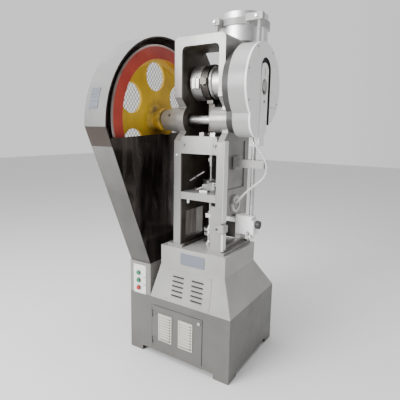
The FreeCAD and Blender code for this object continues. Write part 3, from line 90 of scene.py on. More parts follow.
class Shader:
    """A node material under construction, with short calls for the nodes it needs."""

    def __init__(self, name):
        self.material = bpy.data.materials.new(name)
        self.material.use_nodes = True
        self.tree = self.material.node_tree
        self.bsdf = self.tree.nodes["Principled BSDF"]
        self.place = self.tree.nodes.new("ShaderNodeTexCoord").outputs["Object"]

    def set(self, **values):
        """Fix sockets of the main shader, named with underscores for spaces."""
        for socket, value in values.items():
            self.bsdf.inputs[socket.replace("_", " ")].default_value = value
        return self

    def link(self, output, socket):
        self.tree.links.new(output, self.bsdf.inputs[socket])

    def stretched(self, scale):
        """Object coordinates scaled by axis."""
        node = self.tree.nodes.new("ShaderNodeMapping")
        node.inputs["Scale"].default_value = scale
        self.tree.links.new(self.place, node.inputs["Vector"])
        return node.outputs["Vector"]

    def noise(self, scale, detail=4.0, roughness=0.55, vector=None, distortion=0.0):
        node = self.tree.nodes.new("ShaderNodeTexNoise")
        node.inputs["Scale"].default_value = scale
        node.inputs["Detail"].default_value = detail
        node.inputs["Roughness"].default_value = roughness
        node.inputs["Distortion"].default_value = distortion
        self.tree.links.new(vector or self.place, node.inputs["Vector"])
        return node.outputs["Fac"]

    def cells(self, scale, vector=None):
        node = self.tree.nodes.new("ShaderNodeTexVoronoi")
        node.inputs["Scale"].default_value = scale
        self.tree.links.new(vector or self.place, node.inputs["Vector"])
        return node.outputs["Distance"]

    def ramp(self, value, low, high, first=0.0, last=1.0):
        """Map low..high of a value to first..last, clamped."""
        node = self.tree.nodes.new("ShaderNodeMapRange")
        for socket, number in zip(("From Min", "From Max", "To Min", "To Max"), (low, high, first, last)):
            node.inputs[socket].default_value = number
        self.tree.links.new(value, node.inputs["Value"])
        return node.outputs["Result"]

    def math(self, operation, first, second=None):
        node = self.tree.nodes.new("ShaderNodeMath")
        node.operation = operation
        for socket, value in zip(node.inputs, (first, second)):
            if isinstance(value, (int, float)):
                socket.default_value = value
            elif value is not None:
                self.tree.links.new(value, socket)
        return node.outputs["Value"]

    def mix(self, factor, first, second):
        """Colour between two colours, each a triple or a node's output."""
        node = self.tree.nodes.new("ShaderNodeMix")
        node.data_type = "RGBA"
        self.tree.links.new(factor, node.inputs["Factor"])
        for socket, value in ((node.inputs[6], first), (node.inputs[7], second)):
            if isinstance(value, tuple):
                socket.default_value = (*value, 1.0)
            else:
                self.tree.links.new(value, socket)
        return node.outputs[2]

    def axis(self, name):
        node = self.tree.nodes.new("ShaderNodeSeparateXYZ")
        self.tree.links.new(self.place, node.inputs["Vector"])
        return node.outputs[name]

    def within(self, name, low, high, soft=0.0004):
        """1 between two limits on an axis, 0 outside them."""
        value = self.axis(name)
        return self.math("MULTIPLY", self.ramp(value, low, low + soft), self.ramp(value, high, high - soft))

    def far(self, first, second, centre):
        """Distance from a centre, measured on two axes."""
        across = self.math("SUBTRACT", self.axis(first), centre[0])
        up = self.math("SUBTRACT", self.axis(second), centre[1])
        squares = self.math("ADD", self.math("MULTIPLY", across, across), self.math("MULTIPLY", up, up))
        return self.math("SQRT", squares)

    def bump(self, height, strength, distance=0.001):
        node = self.tree.nodes.new("ShaderNodeBump")
        node.inputs["Strength"].default_value = strength
        node.inputs["Distance"].default_value = distance
        self.tree.links.new(height, node.inputs["Height"])
        self.link(node.outputs["Normal"], "Normal")


def scaled(colour, factor):
    """A colour made lighter or darker."""
    return tuple(min(1.0, part * factor) for part in colour)


def enamel(name, colour, rough=0.42, mottle=0.1, dust=0.2):
    """Sprayed enamel on sheet: cloudy tone, fine orange peel, small scuffs and some dust low down."""
    shader = Shader(name)
    cloud = shader.ramp(shader.noise(5, 6), 0.35, 0.68)
    base = shader.mix(cloud, scaled(colour, 1 - mottle), scaled(colour, 1 + mottle))
    scuffs = shader.ramp(shader.noise(30, 9, 0.7, shader.stretched((1, 1, 5)), 1.5), 0.66, 0.74)
    base = shader.mix(scuffs, base, scaled(colour, 1.35))
    height = shader.axis("Z")
    patches = shader.ramp(shader.noise(14, 5), 0.3, 0.8)
    low = shader.math("MULTIPLY", shader.ramp(height, 0.22, 0.0), patches)
    base = shader.mix(shader.math("MULTIPLY", low, dust), base, (0.2, 0.17, 0.14))
    shader.link(base, "Base Color")
    shader.link(shader.ramp(shader.noise(9, 5), 0.3, 0.7, rough - 0.07, rough + 0.1), "Roughness")
    shader.bump(shader.noise(420, 3), 0.12, 0.0006)
    return shader.set(Coat_Weight=0.12, Coat_Roughness=0.25).material


def guard_enamel():
    """The guard's grey enamel, paler over the wheel than down its taper: painted light and shade by height,
    with painted shade on its inner face.
    """
    shader = Shader("guard_paint")
    cloud = shader.ramp(shader.noise(5, 6), 0.35, 0.68)
    # Painted light and shade: the taper is dark and the part over the wheel pale, ramped by height.
    dark = shader.mix(cloud, (0.060, 0.058, 0.052), (0.085, 0.081, 0.074))
    pale = shader.mix(cloud, (0.25, 0.25, 0.25), (0.31, 0.31, 0.305))
    base = shader.mix(shader.ramp(shader.axis("Z"), 0.95, 1.62), dark, pale)
    # Painted shade on the band's inner face, inside its outer radius.
    inside = shader.ramp(shader.far("Y", "Z", (GUARD_Y, GUARD_Z)), 0.4822, 0.4816)
    inside = shader.math("MULTIPLY", inside, shader.within("Z", 1.2, 1.9))
    inside = shader.math("MULTIPLY", inside, shader.within("X", -0.3252, -0.1))
    base = shader.mix(inside, base, (0.028, 0.016, 0.010))
    shader.link(base, "Base Color")
    shader.link(shader.ramp(shader.noise(9, 5), 0.3, 0.7, 0.34, 0.5), "Roughness")
    shader.bump(shader.noise(420, 3), 0.12, 0.0006)
    return shader.set(Coat_Weight=0.12, Coat_Roughness=0.25).material


def casting(name, colour, rough=0.5, metallic=0.0):
    """Painted casting: sand-cast grain under silver-grey paint, with oil shadows."""
    shader = Shader(name)
    grain = shader.noise(210, 6, 0.65)
    cloud = shader.ramp(shader.noise(7, 6, 0.6), 0.32, 0.72)
    base = shader.mix(cloud, scaled(colour, 0.84), scaled(colour, 1.1))
    oil = shader.ramp(shader.noise(11, 7, 0.62, shader.stretched((1, 1, 0.35)), 0.6), 0.58, 0.74)
    base = shader.mix(shader.math("MULTIPLY", oil, 0.4), base, scaled(colour, 0.42))
    shader.link(base, "Base Color")
    shader.link(shader.ramp(cloud, 0, 1, rough + 0.1, rough - 0.1), "Roughness")
    shader.bump(grain, 0.35, 0.0009)
    return shader.set(Metallic=metallic).material


def frame_casting():
    """Silver-grey frame casting whose inner faces are dark: painted shade between the cheeks, mottled with
    oil and iron dust.
    """
    shader = Shader("cheek_paint_and_shade")
    cloud = shader.ramp(shader.noise(7, 6, 0.6), 0.32, 0.72)
    base = shader.mix(cloud, (0.27, 0.262, 0.25), (0.38, 0.37, 0.355))
    front = shader.ramp(shader.axis("Y"), -0.2165, -0.2185)
    base = shader.mix(front, base, (0.33, 0.325, 0.315))
    # Painted shade: the inner faces between the cheeks, less the countershaft boss, are darkened by
    # position.
    inner = shader.math("MULTIPLY", shader.within("X", -0.0235, 0.1955, 0.001),
                        shader.ramp(shader.axis("Y"), -0.214, -0.205))
    boss = shader.math("MULTIPLY", shader.within("X", 0.1285, 0.25),
                       shader.ramp(shader.far("Y", "Z", (COUNTER_Y, COUNTER_Z)), 0.0675, 0.0665))
    inner = shader.math("MULTIPLY", inner, shader.math("SUBTRACT", 1.0, boss))
    grime = shader.ramp(shader.noise(13, 7, 0.65), 0.3, 0.7)
    base = shader.mix(inner, base, shader.mix(grime, (0.030, 0.022, 0.015), (0.095, 0.078, 0.06)))
    shader.link(base, "Base Color")
    shader.link(shader.ramp(cloud, 0, 1, 0.46, 0.3), "Roughness")
    shader.link(shader.ramp(inner, 0, 1, 0.55, 0.1), "Metallic")
    shader.bump(shader.noise(210, 6, 0.65), 0.35, 0.0009)
    return shader.material


def ground_steel(name, colour, rough=0.28, along="Z", stains=0.35):
    """Ground steel: fine lines along one axis, cloudy oil film and a few dark stains."""
    shader = Shader(name)
    stretch = {"X": (6, 900, 900), "Y": (900, 6, 900), "Z": (900, 900, 6)}[along]
    lines = shader.noise(1, 3, 0.6, shader.stretched(stretch))
    film = shader.ramp(shader.noise(16, 6), 0.35, 0.7)
    base = shader.mix(film, scaled(colour, 0.86), scaled(colour, 1.12))
    stain = shader.ramp(shader.noise(24, 8, 0.65), 0.6, 0.74)
    base = shader.mix(shader.math("MULTIPLY", stain, stains), base, scaled(colour, 0.3))
    shader.link(base, "Base Color")
    shader.link(shader.ramp(lines, 0.3, 0.7, rough - 0.08, rough + 0.14), "Roughness")
    shader.bump(lines, 0.16, 0.0003)
    return shader.set(Metallic=1.0).material


def polished_plate():
    """Mirror-polished dark plate with smudges that also paint lighter reflection blotches, and long
    vertical painted reflection streaks.
    """
    shader = Shader("polished_plate")
    smudge_and_reflection = shader.noise(5, 7, 0.62, shader.stretched((1, 2.2, 0.5)), 1.2)
    reflection_streaks = shader.noise(60, 6, 0.6, shader.stretched((1, 1, 0.05)))
    # Painted reflections: the smudge noise lightens vertical blotches and the stretched noise lightens long
    # vertical streaks.
    base = shader.mix(shader.ramp(smudge_and_reflection, 0.38, 0.7), (0.035, 0.028, 0.025), (0.17, 0.145, 0.13))
    base = shader.mix(shader.ramp(reflection_streaks, 0.62, 0.8, 0, 0.4), base, (0.3, 0.27, 0.25))
    shader.link(base, "Base Color")
    shader.link(shader.ramp(smudge_and_reflection, 0.3, 0.72, 0.1, 0.34), "Roughness")
    shader.bump(shader.noise(3.2, 3), 0.5, 0.004)
    return shader.set(Metallic=0.9).material


def wheel_paint():
    """Flywheel enamel by radius: yellow web and hub, red rim face, bare machined edge."""
    shader = Shader("wheel_paint")
    low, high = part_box("flywheel")
    radius = shader.far("Y", "Z", ((low[1] + high[1]) / 2, (low[2] + high[2]) / 2))
    cloud = shader.ramp(shader.noise(9, 6), 0.3, 0.7)
    yellow = shader.mix(cloud, (0.70, 0.42, 0.012), (0.92, 0.60, 0.03))
    red = shader.mix(cloud, (0.42, 0.035, 0.025), (0.56, 0.07, 0.045))
    base = shader.mix(shader.ramp(radius, 0.3255, 0.3265), yellow, red)
    chips = shader.ramp(shader.noise(36, 8, 0.7), 0.69, 0.74)
    base = shader.mix(shader.math("MULTIPLY", chips, 0.55), base, (0.2, 0.13, 0.07))
    bare = shader.ramp(radius, 0.389, 0.3905)
    base = shader.mix(bare, base, (0.55, 0.45, 0.42))
    patches = shader.ramp(shader.noise(20, 5), 0.3, 0.7)
    grime = shader.math("MULTIPLY", shader.ramp(radius, 0.125, 0.07), patches)
    base = shader.mix(grime, base, (0.12, 0.08, 0.03))
    shader.link(base, "Base Color")
    shader.link(bare, "Metallic")
    shader.link(shader.ramp(shader.noise(13, 5), 0.3, 0.7, 0.3, 0.5), "Roughness")
    shader.bump(shader.noise(160, 5), 0.22, 0.0008)
    return shader.set(Coat_Weight=0.15, Coat_Roughness=0.3).material


def moulded(name, colour, rough=0.35):
    """Moulded plastic with a faint grain and finger marks."""
    shader = Shader(name)
    shader.link(shader.mix(shader.noise(40, 5), scaled(colour, 0.82), scaled(colour, 1.15)), "Base Color")
    shader.link(shader.ramp(shader.noise(70, 5), 0.3, 0.7, rough - 0.08, rough + 0.12), "Roughness")
    shader.bump(shader.noise(900, 2), 0.2, 0.0003)
    return shader.material


def belt_rubber():
    """Black rubber with chalky wear and a fabric-cased surface."""
    shader = Shader("belt_rubber")
    wear = shader.ramp(shader.noise(55, 7, 0.65), 0.45, 0.75)
    shader.link(shader.mix(wear, (0.012, 0.012, 0.012), (0.09, 0.085, 0.08)), "Base Color")
    shader.bump(shader.cells(700), 0.4, 0.0005)
    return shader.set(Roughness=0.75).material


def bronze():
    """Turned bronze with a brown oil film."""
    shader = Shader("bronze")
    film = shader.ramp(shader.noise(45, 6), 0.35, 0.7)
    shader.link(shader.mix(film, (0.42, 0.25, 0.09), (0.72, 0.5, 0.22)), "Base Color")
    shader.link(shader.ramp(film, 0, 1, 0.42, 0.25), "Roughness")
    shader.bump(shader.noise(1, 2, 0.5, shader.stretched((900, 30, 30))), 0.2, 0.0003)
    return shader.set(Metallic=1.0).material


def clear_hose():
    """Milky clear hose with a slight wave and dust."""
    shader = Shader("clear_hose")
    cloud = shader.noise(60, 5)
    shader.link(shader.mix(cloud, (0.78, 0.79, 0.77), (0.95, 0.95, 0.93)), "Base Color")
    shader.link(shader.ramp(cloud, 0.3, 0.7, 0.16, 0.34), "Roughness")
    shader.bump(shader.noise(130, 3), 0.1, 0.0006)
    return shader.set(Transmission_Weight=0.35, IOR=1.45).material


def etched_plate():
    """Plain anodised plate with a fine horizontal grain."""
    shader = Shader("etched_plate")
    lines = shader.noise(1, 3, 0.6, shader.stretched((8, 8, 700)))
    shader.link(shader.mix(lines, (0.16, 0.18, 0.22), (0.26, 0.28, 0.32)), "Base Color")
    shader.link(shader.ramp(lines, 0.3, 0.7, 0.25, 0.42), "Roughness")
    shader.bump(lines, 0.12, 0.0002)
    return shader.set(Metallic=0.7).material


def pale_floor():
    """Plain pale floor with barely uneven tone."""
    shader = Shader("pale_floor")
    shader.link(shader.mix(shader.noise(2, 3), (0.86, 0.86, 0.86), (0.9, 0.9, 0.9)), "Base Color")
    shader.bump(shader.noise(90, 3), 0.03, 0.0005)
    return shader.set(Roughness=0.7).material


# ---------------------------------------------------------------- mesh helpers

def piece(name, mesh, material, body="frame", bevel=0.0):
    """Link a bmesh as a piece that rides on a body, with rounded edges where asked."""
    data = bpy.data.meshes.new(name)
    bmesh.ops.recalc_face_normals(mesh, faces=mesh.faces)
    mesh.to_mesh(data)
    mesh.free()
    data.materials.append(material)
    item = bpy.data.objects.new(name, data)
    bpy.context.scene.collection.objects.link(item)
    if bevel:
        soften(item, bevel, 2)
    smooth_by_angle(item)
    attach(item, body)
    return item


def soften(item, width, segments=2):
    """Round an object's sharp edges."""
    modifier = item.modifiers.new("edges", "BEVEL")
    modifier.width = width
    modifier.segments = segments
    modifier.limit_method = "ANGLE"
    modifier.angle_limit = math.radians(40)
    modifier.harden_normals = False


def smooth_by_angle(item, angle=32):
    """Smooth shading across shallow edges only."""
    mesh = item.data
    edges = bmesh.new()
    edges.from_mesh(mesh)
    for face in edges.faces:
        face.smooth = True
    for edge in edges.edges:
        edge.smooth = edge.calc_face_angle(0) < math.radians(angle)
    edges.to_mesh(mesh)
    edges.free()


def block(mesh, low, high, turn=None):
    """Add a box between two corners, optionally turned about its middle."""
    low = Vector(low)
    high = Vector(high)
    size = high - low
    matrix = Matrix.Translation((low + high) / 2) @ (turn or Matrix.Identity(4))
    matrix = matrix @ Matrix.Diagonal((*size, 1))
    bmesh.ops.create_cube(mesh, size=1, matrix=matrix)


AXES = {
    "X": Matrix.Rotation(math.radians(90), 4, "Y"),
    "Y": Matrix.Rotation(math.radians(-90), 4, "X"),
    "Z": Matrix.Identity(4),
}


def lathe(mesh, axis, centre, profile, steps=48):
    """Add a closed turned solid: profile is (distance along the axis, radius) pairs."""
    matrix = Matrix.Translation(centre) @ AXES[axis]
    rings = []
    for along, radius in profile:
        ring = []
        for step in range(steps):
            angle = 2 * math.pi * step / steps
            point = Vector((radius * math.cos(angle), radius * math.sin(angle), along))
            ring.append(mesh.verts.new(matrix @ point))
        rings.append(ring)
    for first, second in zip(rings, rings[1:]):
        for step in range(steps):
            after = (step + 1) % steps
            mesh.faces.new((first[step], first[after], second[after], second[step]))
    mesh.faces.new(rings[0][::-1])
    mesh.faces.new(rings[-1])


def hoop(mesh, axis, centre, outer, inner, depth, steps=64):
    """Add a flat ring with a rectangular section."""
    matrix = Matrix.Translation(centre) @ AXES[axis]
    corners = ((outer, 0), (outer, depth), (inner, depth), (inner, 0))
    rings = []
    for step in range(steps):
        angle = 2 * math.pi * step / steps
        rings.append([
            mesh.verts.new(matrix @ Vector((radius * math.cos(angle), radius * math.sin(angle), along)))
            for radius, along in corners
        ])
    for step in range(steps):
        here = rings[step]
        there = rings[(step + 1) % steps]
        for corner in range(4):
            after = (corner + 1) % 4
            mesh.faces.new((here[corner], here[after], there[after], there[corner]))


def bar(mesh, start, end, radius, sides=6):
    """Add a closed round bar between two points."""
    start = Vector(start)
    end = Vector(end)
    turn = (end - start).to_track_quat("Z", "Y").to_matrix().to_4x4()
    matrix = Matrix.Translation((start + end) / 2) @ turn
    bmesh.ops.create_cone(mesh, cap_ends=True, segments=sides, radius1=radius, radius2=radius,
                          depth=(end - start).length, matrix=matrix)


def close_strip(mesh, rows):
    """Join rows of four vertices into a closed strip with capped ends."""
    for here, there in zip(rows, rows[1:]):
        for corner in range(4):
            after = (corner + 1) % 4
            mesh.faces.new((here[corner], here[after], there[after], there[corner]))
    mesh.faces.new(rows[0][::-1])
    mesh.faces.new(rows[-1])


def screw_profile(radius, height):
    """A pan-head screw's profile with a rounded edge."""
    return [(0, radius), (height * 0.55, radius), (height * 0.9, radius * 0.8), (height, radius * 0.35)]


def outward(profile):
    """The same profile pointed the other way along its axis, toward the operator."""
    return [(-height, radius) for height, radius in profile]


# ---------------------------------------------------------------- hose

HOSE_ROUTE = [
    (0.350, -0.124, 1.226), (0.374, -0.125, 1.202), (0.402, -0.127, 1.170), (0.421, -0.128, 1.130),
    (0.424, -0.128, 1.088), (0.400, -0.127, 1.050), (0.362, -0.124, 1.021), (0.322, -0.119, 0.988),
    (0.288, -0.112, 0.955), (0.264, -0.105, 0.926), (0.246, -0.100, 0.911),
]
HOSE_DIAMETER = 0.011


def add_hose(material):
    """Clear drain hose on one smooth curve from the elbow to the boss on the cheek."""
    data = bpy.data.curves.new("hose", "CURVE")
    data.dimensions = "3D"
    data.bevel_depth = HOSE_DIAMETER / 2
    data.bevel_resolution = 6
    data.resolution_u = 16
    data.use_fill_caps = True
    spline = data.splines.new("NURBS")
    spline.points.add(len(HOSE_ROUTE) - 1)
    for point, place in zip(spline.points, HOSE_ROUTE):
        point.co = (*place, 1)
    spline.order_u = 3
    spline.use_endpoint_u = True
    data.materials.append(material)
    hose = bpy.data.objects.new("drain_hose_tube", data)
    bpy.context.scene.collection.objects.link(hose)
    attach(hose, "frame")
    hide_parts("drain_hose")


# ---------------------------------------------------------------- pieces of the guard

def wire_mesh(material):
    """Woven diamond mesh in the guard's round window."""
    low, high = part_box("guard_mesh")
    radius = (high[2] - low[2]) / 2 - 0.002
    middle_x = (low[0] + high[0]) / 2
    pitch = 0.0195
    wire = 0.0014
    mesh = bmesh.new()
    for tilt in (52, -52):
        direction = Vector((0, math.cos(math.radians(tilt)), math.sin(math.radians(tilt))))
        across = Vector((0, -direction.z, direction.y))
        count = int(radius / pitch)
        for step in range(-count, count + 1):
            offset = step * pitch
            half = math.sqrt(radius ** 2 - offset ** 2)
            depth = 0.00045 if tilt > 0 else -0.00045
            centre = Vector((middle_x + depth, GUARD_Y, GUARD_Z)) + across * offset
            bar(mesh, centre - direction * half, centre + direction * half, wire, 5)
    hoop(mesh, "X", (low[0], GUARD_Y, GUARD_Z), radius, radius - 0.012, high[0] - low[0], 96)
    item = piece("guard_wire_mesh", mesh, material)
    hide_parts("guard_mesh")


def guard_lips(material):
    """Folded lip round the guard's open right edge and a bead round its window."""
    low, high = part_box("guard_band")
    outer = 0.480
    foot = 0.2725
    floor = low[2] + 0.001
    steps = 60
    points = [(-foot, floor)]
    for step in range(steps + 1):
        angle = math.pi - math.pi * step / steps
        points.append((GUARD_Y + outer * math.cos(angle), GUARD_Z + outer * math.sin(angle)))
    points.append((foot, floor))
    back = high[0] - 0.003
    front = high[0] - 0.0005
    mesh = bmesh.new()
    rows = []
    for y, z in points:
        away = Vector((y - GUARD_Y, z - GUARD_Z))
        round_part = z > GUARD_Z - 0.001
        pull = away.normalized() * 0.005 if round_part else Vector((math.copysign(0.0048, y), 0))
        inner_y, inner_z = y - pull.x, z - pull.y
        corners = ((back, y, z), (front, y, z), (front, inner_y, inner_z), (back, inner_y, inner_z))
        rows.append([mesh.verts.new(corner) for corner in corners])
    close_strip(mesh, rows)
    piece("guard_front_lip", mesh, material, bevel=0.0008)
    bead = bmesh.new()
    hoop(bead, "X", (low[0], GUARD_Y, GUARD_Z), 0.4285, 0.414, 0.0028, 96)
    piece("guard_window_bead", bead, material, bevel=0.0008)


def guard_label(plate, rivet):
    """Blank label plate and its rivets on the guard's front."""
    level = 1.4275
    radius = 0.483
    angle = math.asin((level - GUARD_Z) / radius)
    place = (-0.270, GUARD_Y - radius * math.cos(angle), GUARD_Z + radius * math.sin(angle))
    local = Matrix.Translation(place) @ Matrix.Rotation(-angle, 4, "X")
    mesh = bmesh.new()
    bmesh.ops.create_cube(mesh, size=1, matrix=local @ Matrix.Diagonal((0.058, 0.003, 0.098, 1)))
    piece("guard_blank_label", mesh, plate, bevel=0.0006)
    heads = bmesh.new()
    for x in (-0.023, 0.023):
        for z in (-0.043, 0.043):
            bmesh.ops.create_uvsphere(heads, u_segments=10, v_segments=6, radius=0.0022,
                                      matrix=local @ Matrix.Translation((x, -0.0016, z)))
    piece("guard_label_rivets", heads, rivet)


# ---------------------------------------------------------------- pieces of the base

def holed_cell(mesh, centre, radius, low, high, back, front):
    """Add a rectangular plate cell in the XZ plane with a round hole in it."""
    angles = [2 * math.pi * step / 32 for step in range(32)]
    angles += [math.atan2(z - centre[1], x - centre[0]) % (2 * math.pi)
               for x in (low[0], high[0]) for z in (low[1], high[1])]
    loops = []
    for angle in sorted(angles):
        along, up = math.cos(angle), math.sin(angle)
        to_side = ((high[0] if along > 0 else low[0]) - centre[0]) / along if abs(along) > 1e-6 else 9
        to_top = ((high[1] if up > 0 else low[1]) - centre[1]) / up if abs(up) > 1e-6 else 9
        reach = min(to_side, to_top)
        places = ((reach, front), (radius, front), (radius, back), (reach, back))
        loops.append([mesh.verts.new((centre[0] + along * far, depth, centre[1] + up * far))
                      for far, depth in places])
    for here, there in zip(loops, loops[1:] + loops[:1]):
        for corner in range(4):
            after = (corner + 1) % 4
            mesh.faces.new((here[corner], here[after], there[after], there[corner]))


def control_plate(plate, rim, rivet):
    """White plate with rings round the three buttons, and four corner screws."""
    buttons = [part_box(name) for name in ("stop_button", "jog_button", "start_button")]
    centre_x = (buttons[0][0][0] + buttons[0][1][0]) / 2
    levels = [(low[2] + high[2]) / 2 for low, high in buttons]
    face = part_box("control_column")[0][1]
    back = face - 0.0002
    front = face - 0.002
    left, right = centre_x - 0.040, centre_x + 0.050
    bottom, top = levels[0] - 0.034, levels[-1] + 0.046
    edges = [bottom, (levels[0] + levels[1]) / 2, (levels[1] + levels[2]) / 2, top]
    mesh = bmesh.new()
    for level, low, high in zip(levels, edges, edges[1:]):
        holed_cell(mesh, (centre_x, level), 0.0122, (left, low), (right, high), back, front)
    bmesh.ops.remove_doubles(mesh, verts=mesh.verts, dist=0.00005)
    piece("control_plate", mesh, plate)
    rings = bmesh.new()
    for level in levels:
        hoop(rings, "Y", (centre_x, front - 0.005, level), 0.0148, 0.0116, 0.005, 48)
    piece("button_rings", rings, rim, bevel=0.0008)
    screws = bmesh.new()
    for x in (left + 0.006, right - 0.006):
        for z in (bottom + 0.006, top - 0.006):
            lathe(screws, "Y", (x, front, z), outward(screw_profile(0.003, 0.0014)), 16)
    piece("control_plate_screws", screws, rivet)


def louvre_details(material, shade, half_shade, rivet):
    """Pressed lips below the slots of the slope's plate, shaded slot liners and corner screws."""
    tilt = math.atan2(30, 196)
    local = Matrix.Translation((0, -0.2792, 0.360)) @ Matrix.Rotation(-tilt, 4, "X")
    first, pitch, rows = 0.030, 0.026, 5
    lips = bmesh.new()
    liners = bmesh.new()
    lower_liners = bmesh.new()
    for left, right in ((-0.040, 0.036), (0.084, 0.160)):
        middle = (left + right) / 2
        for row in range(rows):
            low = first + pitch * row
            add_lip(lips, local, left, right, low)
            for strip, level, height in ((liners, 0.0057, 0.0062), (lower_liners, 0.0013, 0.0026)):
                place = local @ Matrix.Translation((middle, -0.0009, low + level))
                size = Matrix.Diagonal((right - left - 0.002, 0.0008, height, 1))
                bmesh.ops.create_cube(strip, size=1, matrix=place @ size)
    piece("louvre_lips", lips, material, bevel=0.0004)
    piece("louvre_liners", liners, shade)
    piece("louvre_lower_liners", lower_liners, half_shade)
    screws = bmesh.new()
    for x in (-0.070, 0.197):
        for z in (0.008, 0.168):
            lathe(screws, "Y", local @ Vector((x, -0.0022, z)), outward(screw_profile(0.0042, 0.002)), 16)
    piece("louvre_screws", screws, rivet)


def add_lip(mesh, local, left, right, low):
    """One pressed lip: a shallow wedge that swells out toward the slot above it."""
    across = 12
    back = -0.0018
    rows = []
    for column in range(across + 1):
        share = column / across
        x = left + (right - left) * share
        reach = 0.0052 * min(1.0, 5 * min(share, 1 - share)) ** 0.5
        corners = ((back, low - 0.010), (back - reach * 0.75, low - 0.0035),
                   (back - 0.0001 - reach, low + 0.0005), (back, low + 0.0005))
        rows.append([mesh.verts.new(local @ Vector((x, y, z))) for y, z in corners])
    close_strip(mesh, rows)


def hood_plate(plate, rivet):
    """Plain rounded plate with no marking on the hood's front, on two studs."""
    centre_x, centre_z = 0.080, 0.602
    half_x, half_z, corner = 0.070, 0.026, 0.006
    outline = []
    for turn_x, turn_z, start in ((half_x, half_z, 0), (-half_x, half_z, 90),
                                  (-half_x, -half_z, 180), (half_x, -half_z, 270)):
        for step in range(5):
            angle = math.radians(start + 22.5 * step)
            outline.append((turn_x + corner * math.cos(angle), turn_z + corner * math.sin(angle)))
    mesh = bmesh.new()
    inner, outer = [
        [mesh.verts.new((centre_x + x, HOOD_FRONT + depth, centre_z + z)) for x, z in outline]
        for depth in (-0.0002, -0.0024)
    ]
    for step in range(len(outline)):
        after = (step + 1) % len(outline)
        mesh.faces.new((inner[step], inner[after], outer[after], outer[step]))
    mesh.faces.new(inner[::-1])
    mesh.faces.new(outer)
    piece("hood_blank_plate", mesh, plate, bevel=0.0005)
    studs = bmesh.new()
    for x in (-0.064, 0.064):
        lathe(studs, "Y", (centre_x + x, HOOD_FRONT - 0.0024, centre_z),
              outward(screw_profile(0.0035, 0.002)), 16)
    piece("hood_plate_studs", studs, rivet)


def grille_details(shade):
    """Painted shadows between the grilles' slats, deeper at their right ends."""
    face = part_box("door_grilles")[0][1]
    first, pitch, rows = 0.1195, 0.016, 9
    mesh = bmesh.new()
    # Painted shadow strips under each slat, and wider ones at the slats' right ends.
    for left in (-0.119, 0.018):
        for row in range(rows):
            level = first + pitch * row
            block(mesh, (left + 0.012, face + 0.0002, level - 0.0011), (left + 0.082, face + 0.001, level))
            block(mesh, (left + 0.076, face - 0.0006, level - 0.0016),
                  (left + 0.086, face + 0.001, level + 0.004))
    piece("grille_slat_shadows", mesh, shade, body="door")


def cabinet_seams(dark, paint):
    """Black gap strips round the door and a weld bead round the hood's foot."""
    mesh = bmesh.new()
    low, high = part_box("access_door")
    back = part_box("base_cabinet")[0][1]
    strip = 0.0012
    for x in (low[0] - 0.0014, high[0] + 0.0002):
        block(mesh, (x, back - 0.0005, low[2]), (x + strip, back + 0.0004, high[2]))
    for z in (0.0446, 0.3062):
        block(mesh, (low[0] + 0.01, back - 0.0005, z), (high[0], back + 0.0004, z + strip))
    piece("door_gap", mesh, dark)
    bead = bmesh.new()
    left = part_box("pedestal_hood")[0][0]
    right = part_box("pedestal_hood")[1][0] - 0.001
    front, level, radius = -0.2795, 0.354, 0.0016
    bar(bead, (left, front, level), (right, front, level), radius, 8)
    bar(bead, (right, front, level), (right, -front, level), radius, 8)
    piece("hood_weld_bead", bead, paint)


# ---------------------------------------------------------------- pieces of the frame and its drive

def frame_details(casting_paint, steel, dark):
    """Leg clamp block with its screw, a near-white strip as painted highlight on the right cheek's flange,
    oil plugs on the bosses and studs.
    """
    front = FRAME_FRONT
    clamp = bmesh.new()
    block(clamp, (0.203, front - 0.016, 0.776), (0.254, front + 0.030, 0.815))
    piece("leg_clamp_block", clamp, casting_paint, bevel=0.003)
    screw = bmesh.new()
    lathe(screw, "Y", (0.213, front - 0.016, 0.794), [(-0.005, 0.0045), (-0.004, 0.006), (0, 0.006)], 6)
    piece("leg_clamp_screw", screw, dark)
    # Painted highlight: a near-white strip over the right cheek's flange edge.
    strip = bmesh.new()
    block(strip, (0.2305, front, 0.676), (0.243, front + 0.032, 0.768))
    block(strip, (0.2305, front + 0.002, 0.823), (0.236, front + 0.046, 1.236))
    piece("cheek_side_highlight", strip, steel, bevel=0.002)
    plugs = bmesh.new()
    for x, boss_radius in ((-0.120, 0.066), (0.150, 0.060)):
        y = COUNTER_Y + boss_radius * math.cos(math.radians(205)) + 0.004
        lathe(plugs, "Y", (x, y, COUNTER_Z + 0.022), [(-0.010, 0.004), (-0.008, 0.0072), (0, 0.0072)], 20)
    piece("boss_oil_plugs", plugs, dark)
    studs = bmesh.new()
    lathe(studs, "Z", (0.012, -0.196, 0.9), [(0, 0.0055), (0.004, 0.007), (0.0235, 0.007)], 20)
    lathe(studs, "Y", (-0.044, front, 1.157), [(-0.008, 0.006), (-0.006, 0.008), (0.001, 0.008)], 6)
    piece("frame_studs", studs, steel)


def feed_linkage(steel, dark):
    """Tilted feed lever and the fork lever on the table, with their pins."""
    levers = bmesh.new()
    bar(levers, (-0.020, -0.135, 1.012), (0.058, -0.112, 1.066), 0.0045, 10)
    bar(levers, (0.036, -0.160, 0.969), (0.120, -0.120, 1.008), 0.0055, 10)
    block(levers, (0.118, -0.128, 0.994), (0.146, -0.112, 1.012))
    block(levers, (0.060, -0.166, 0.9622), (0.110, -0.132, 0.972))
    piece("feed_levers", levers, steel, bevel=0.0008)
    pins = bmesh.new()
    lathe(pins, "Z", (0.014, -0.127, 1.030), [(-0.008, 0.0055), (0.012, 0.0055), (0.013, 0.004)], 20)
    lathe(pins, "Z", (0.036, -0.160, 0.9622), [(0, 0.006), (0.020, 0.006), (0.021, 0.004)], 20)
    lathe(pins, "Y", (0.133, -0.131, 1.003), [(0, 0.005), (0.004, 0.006), (0.022, 0.006)], 20)
    piece("feed_lever_pins", pins, dark)


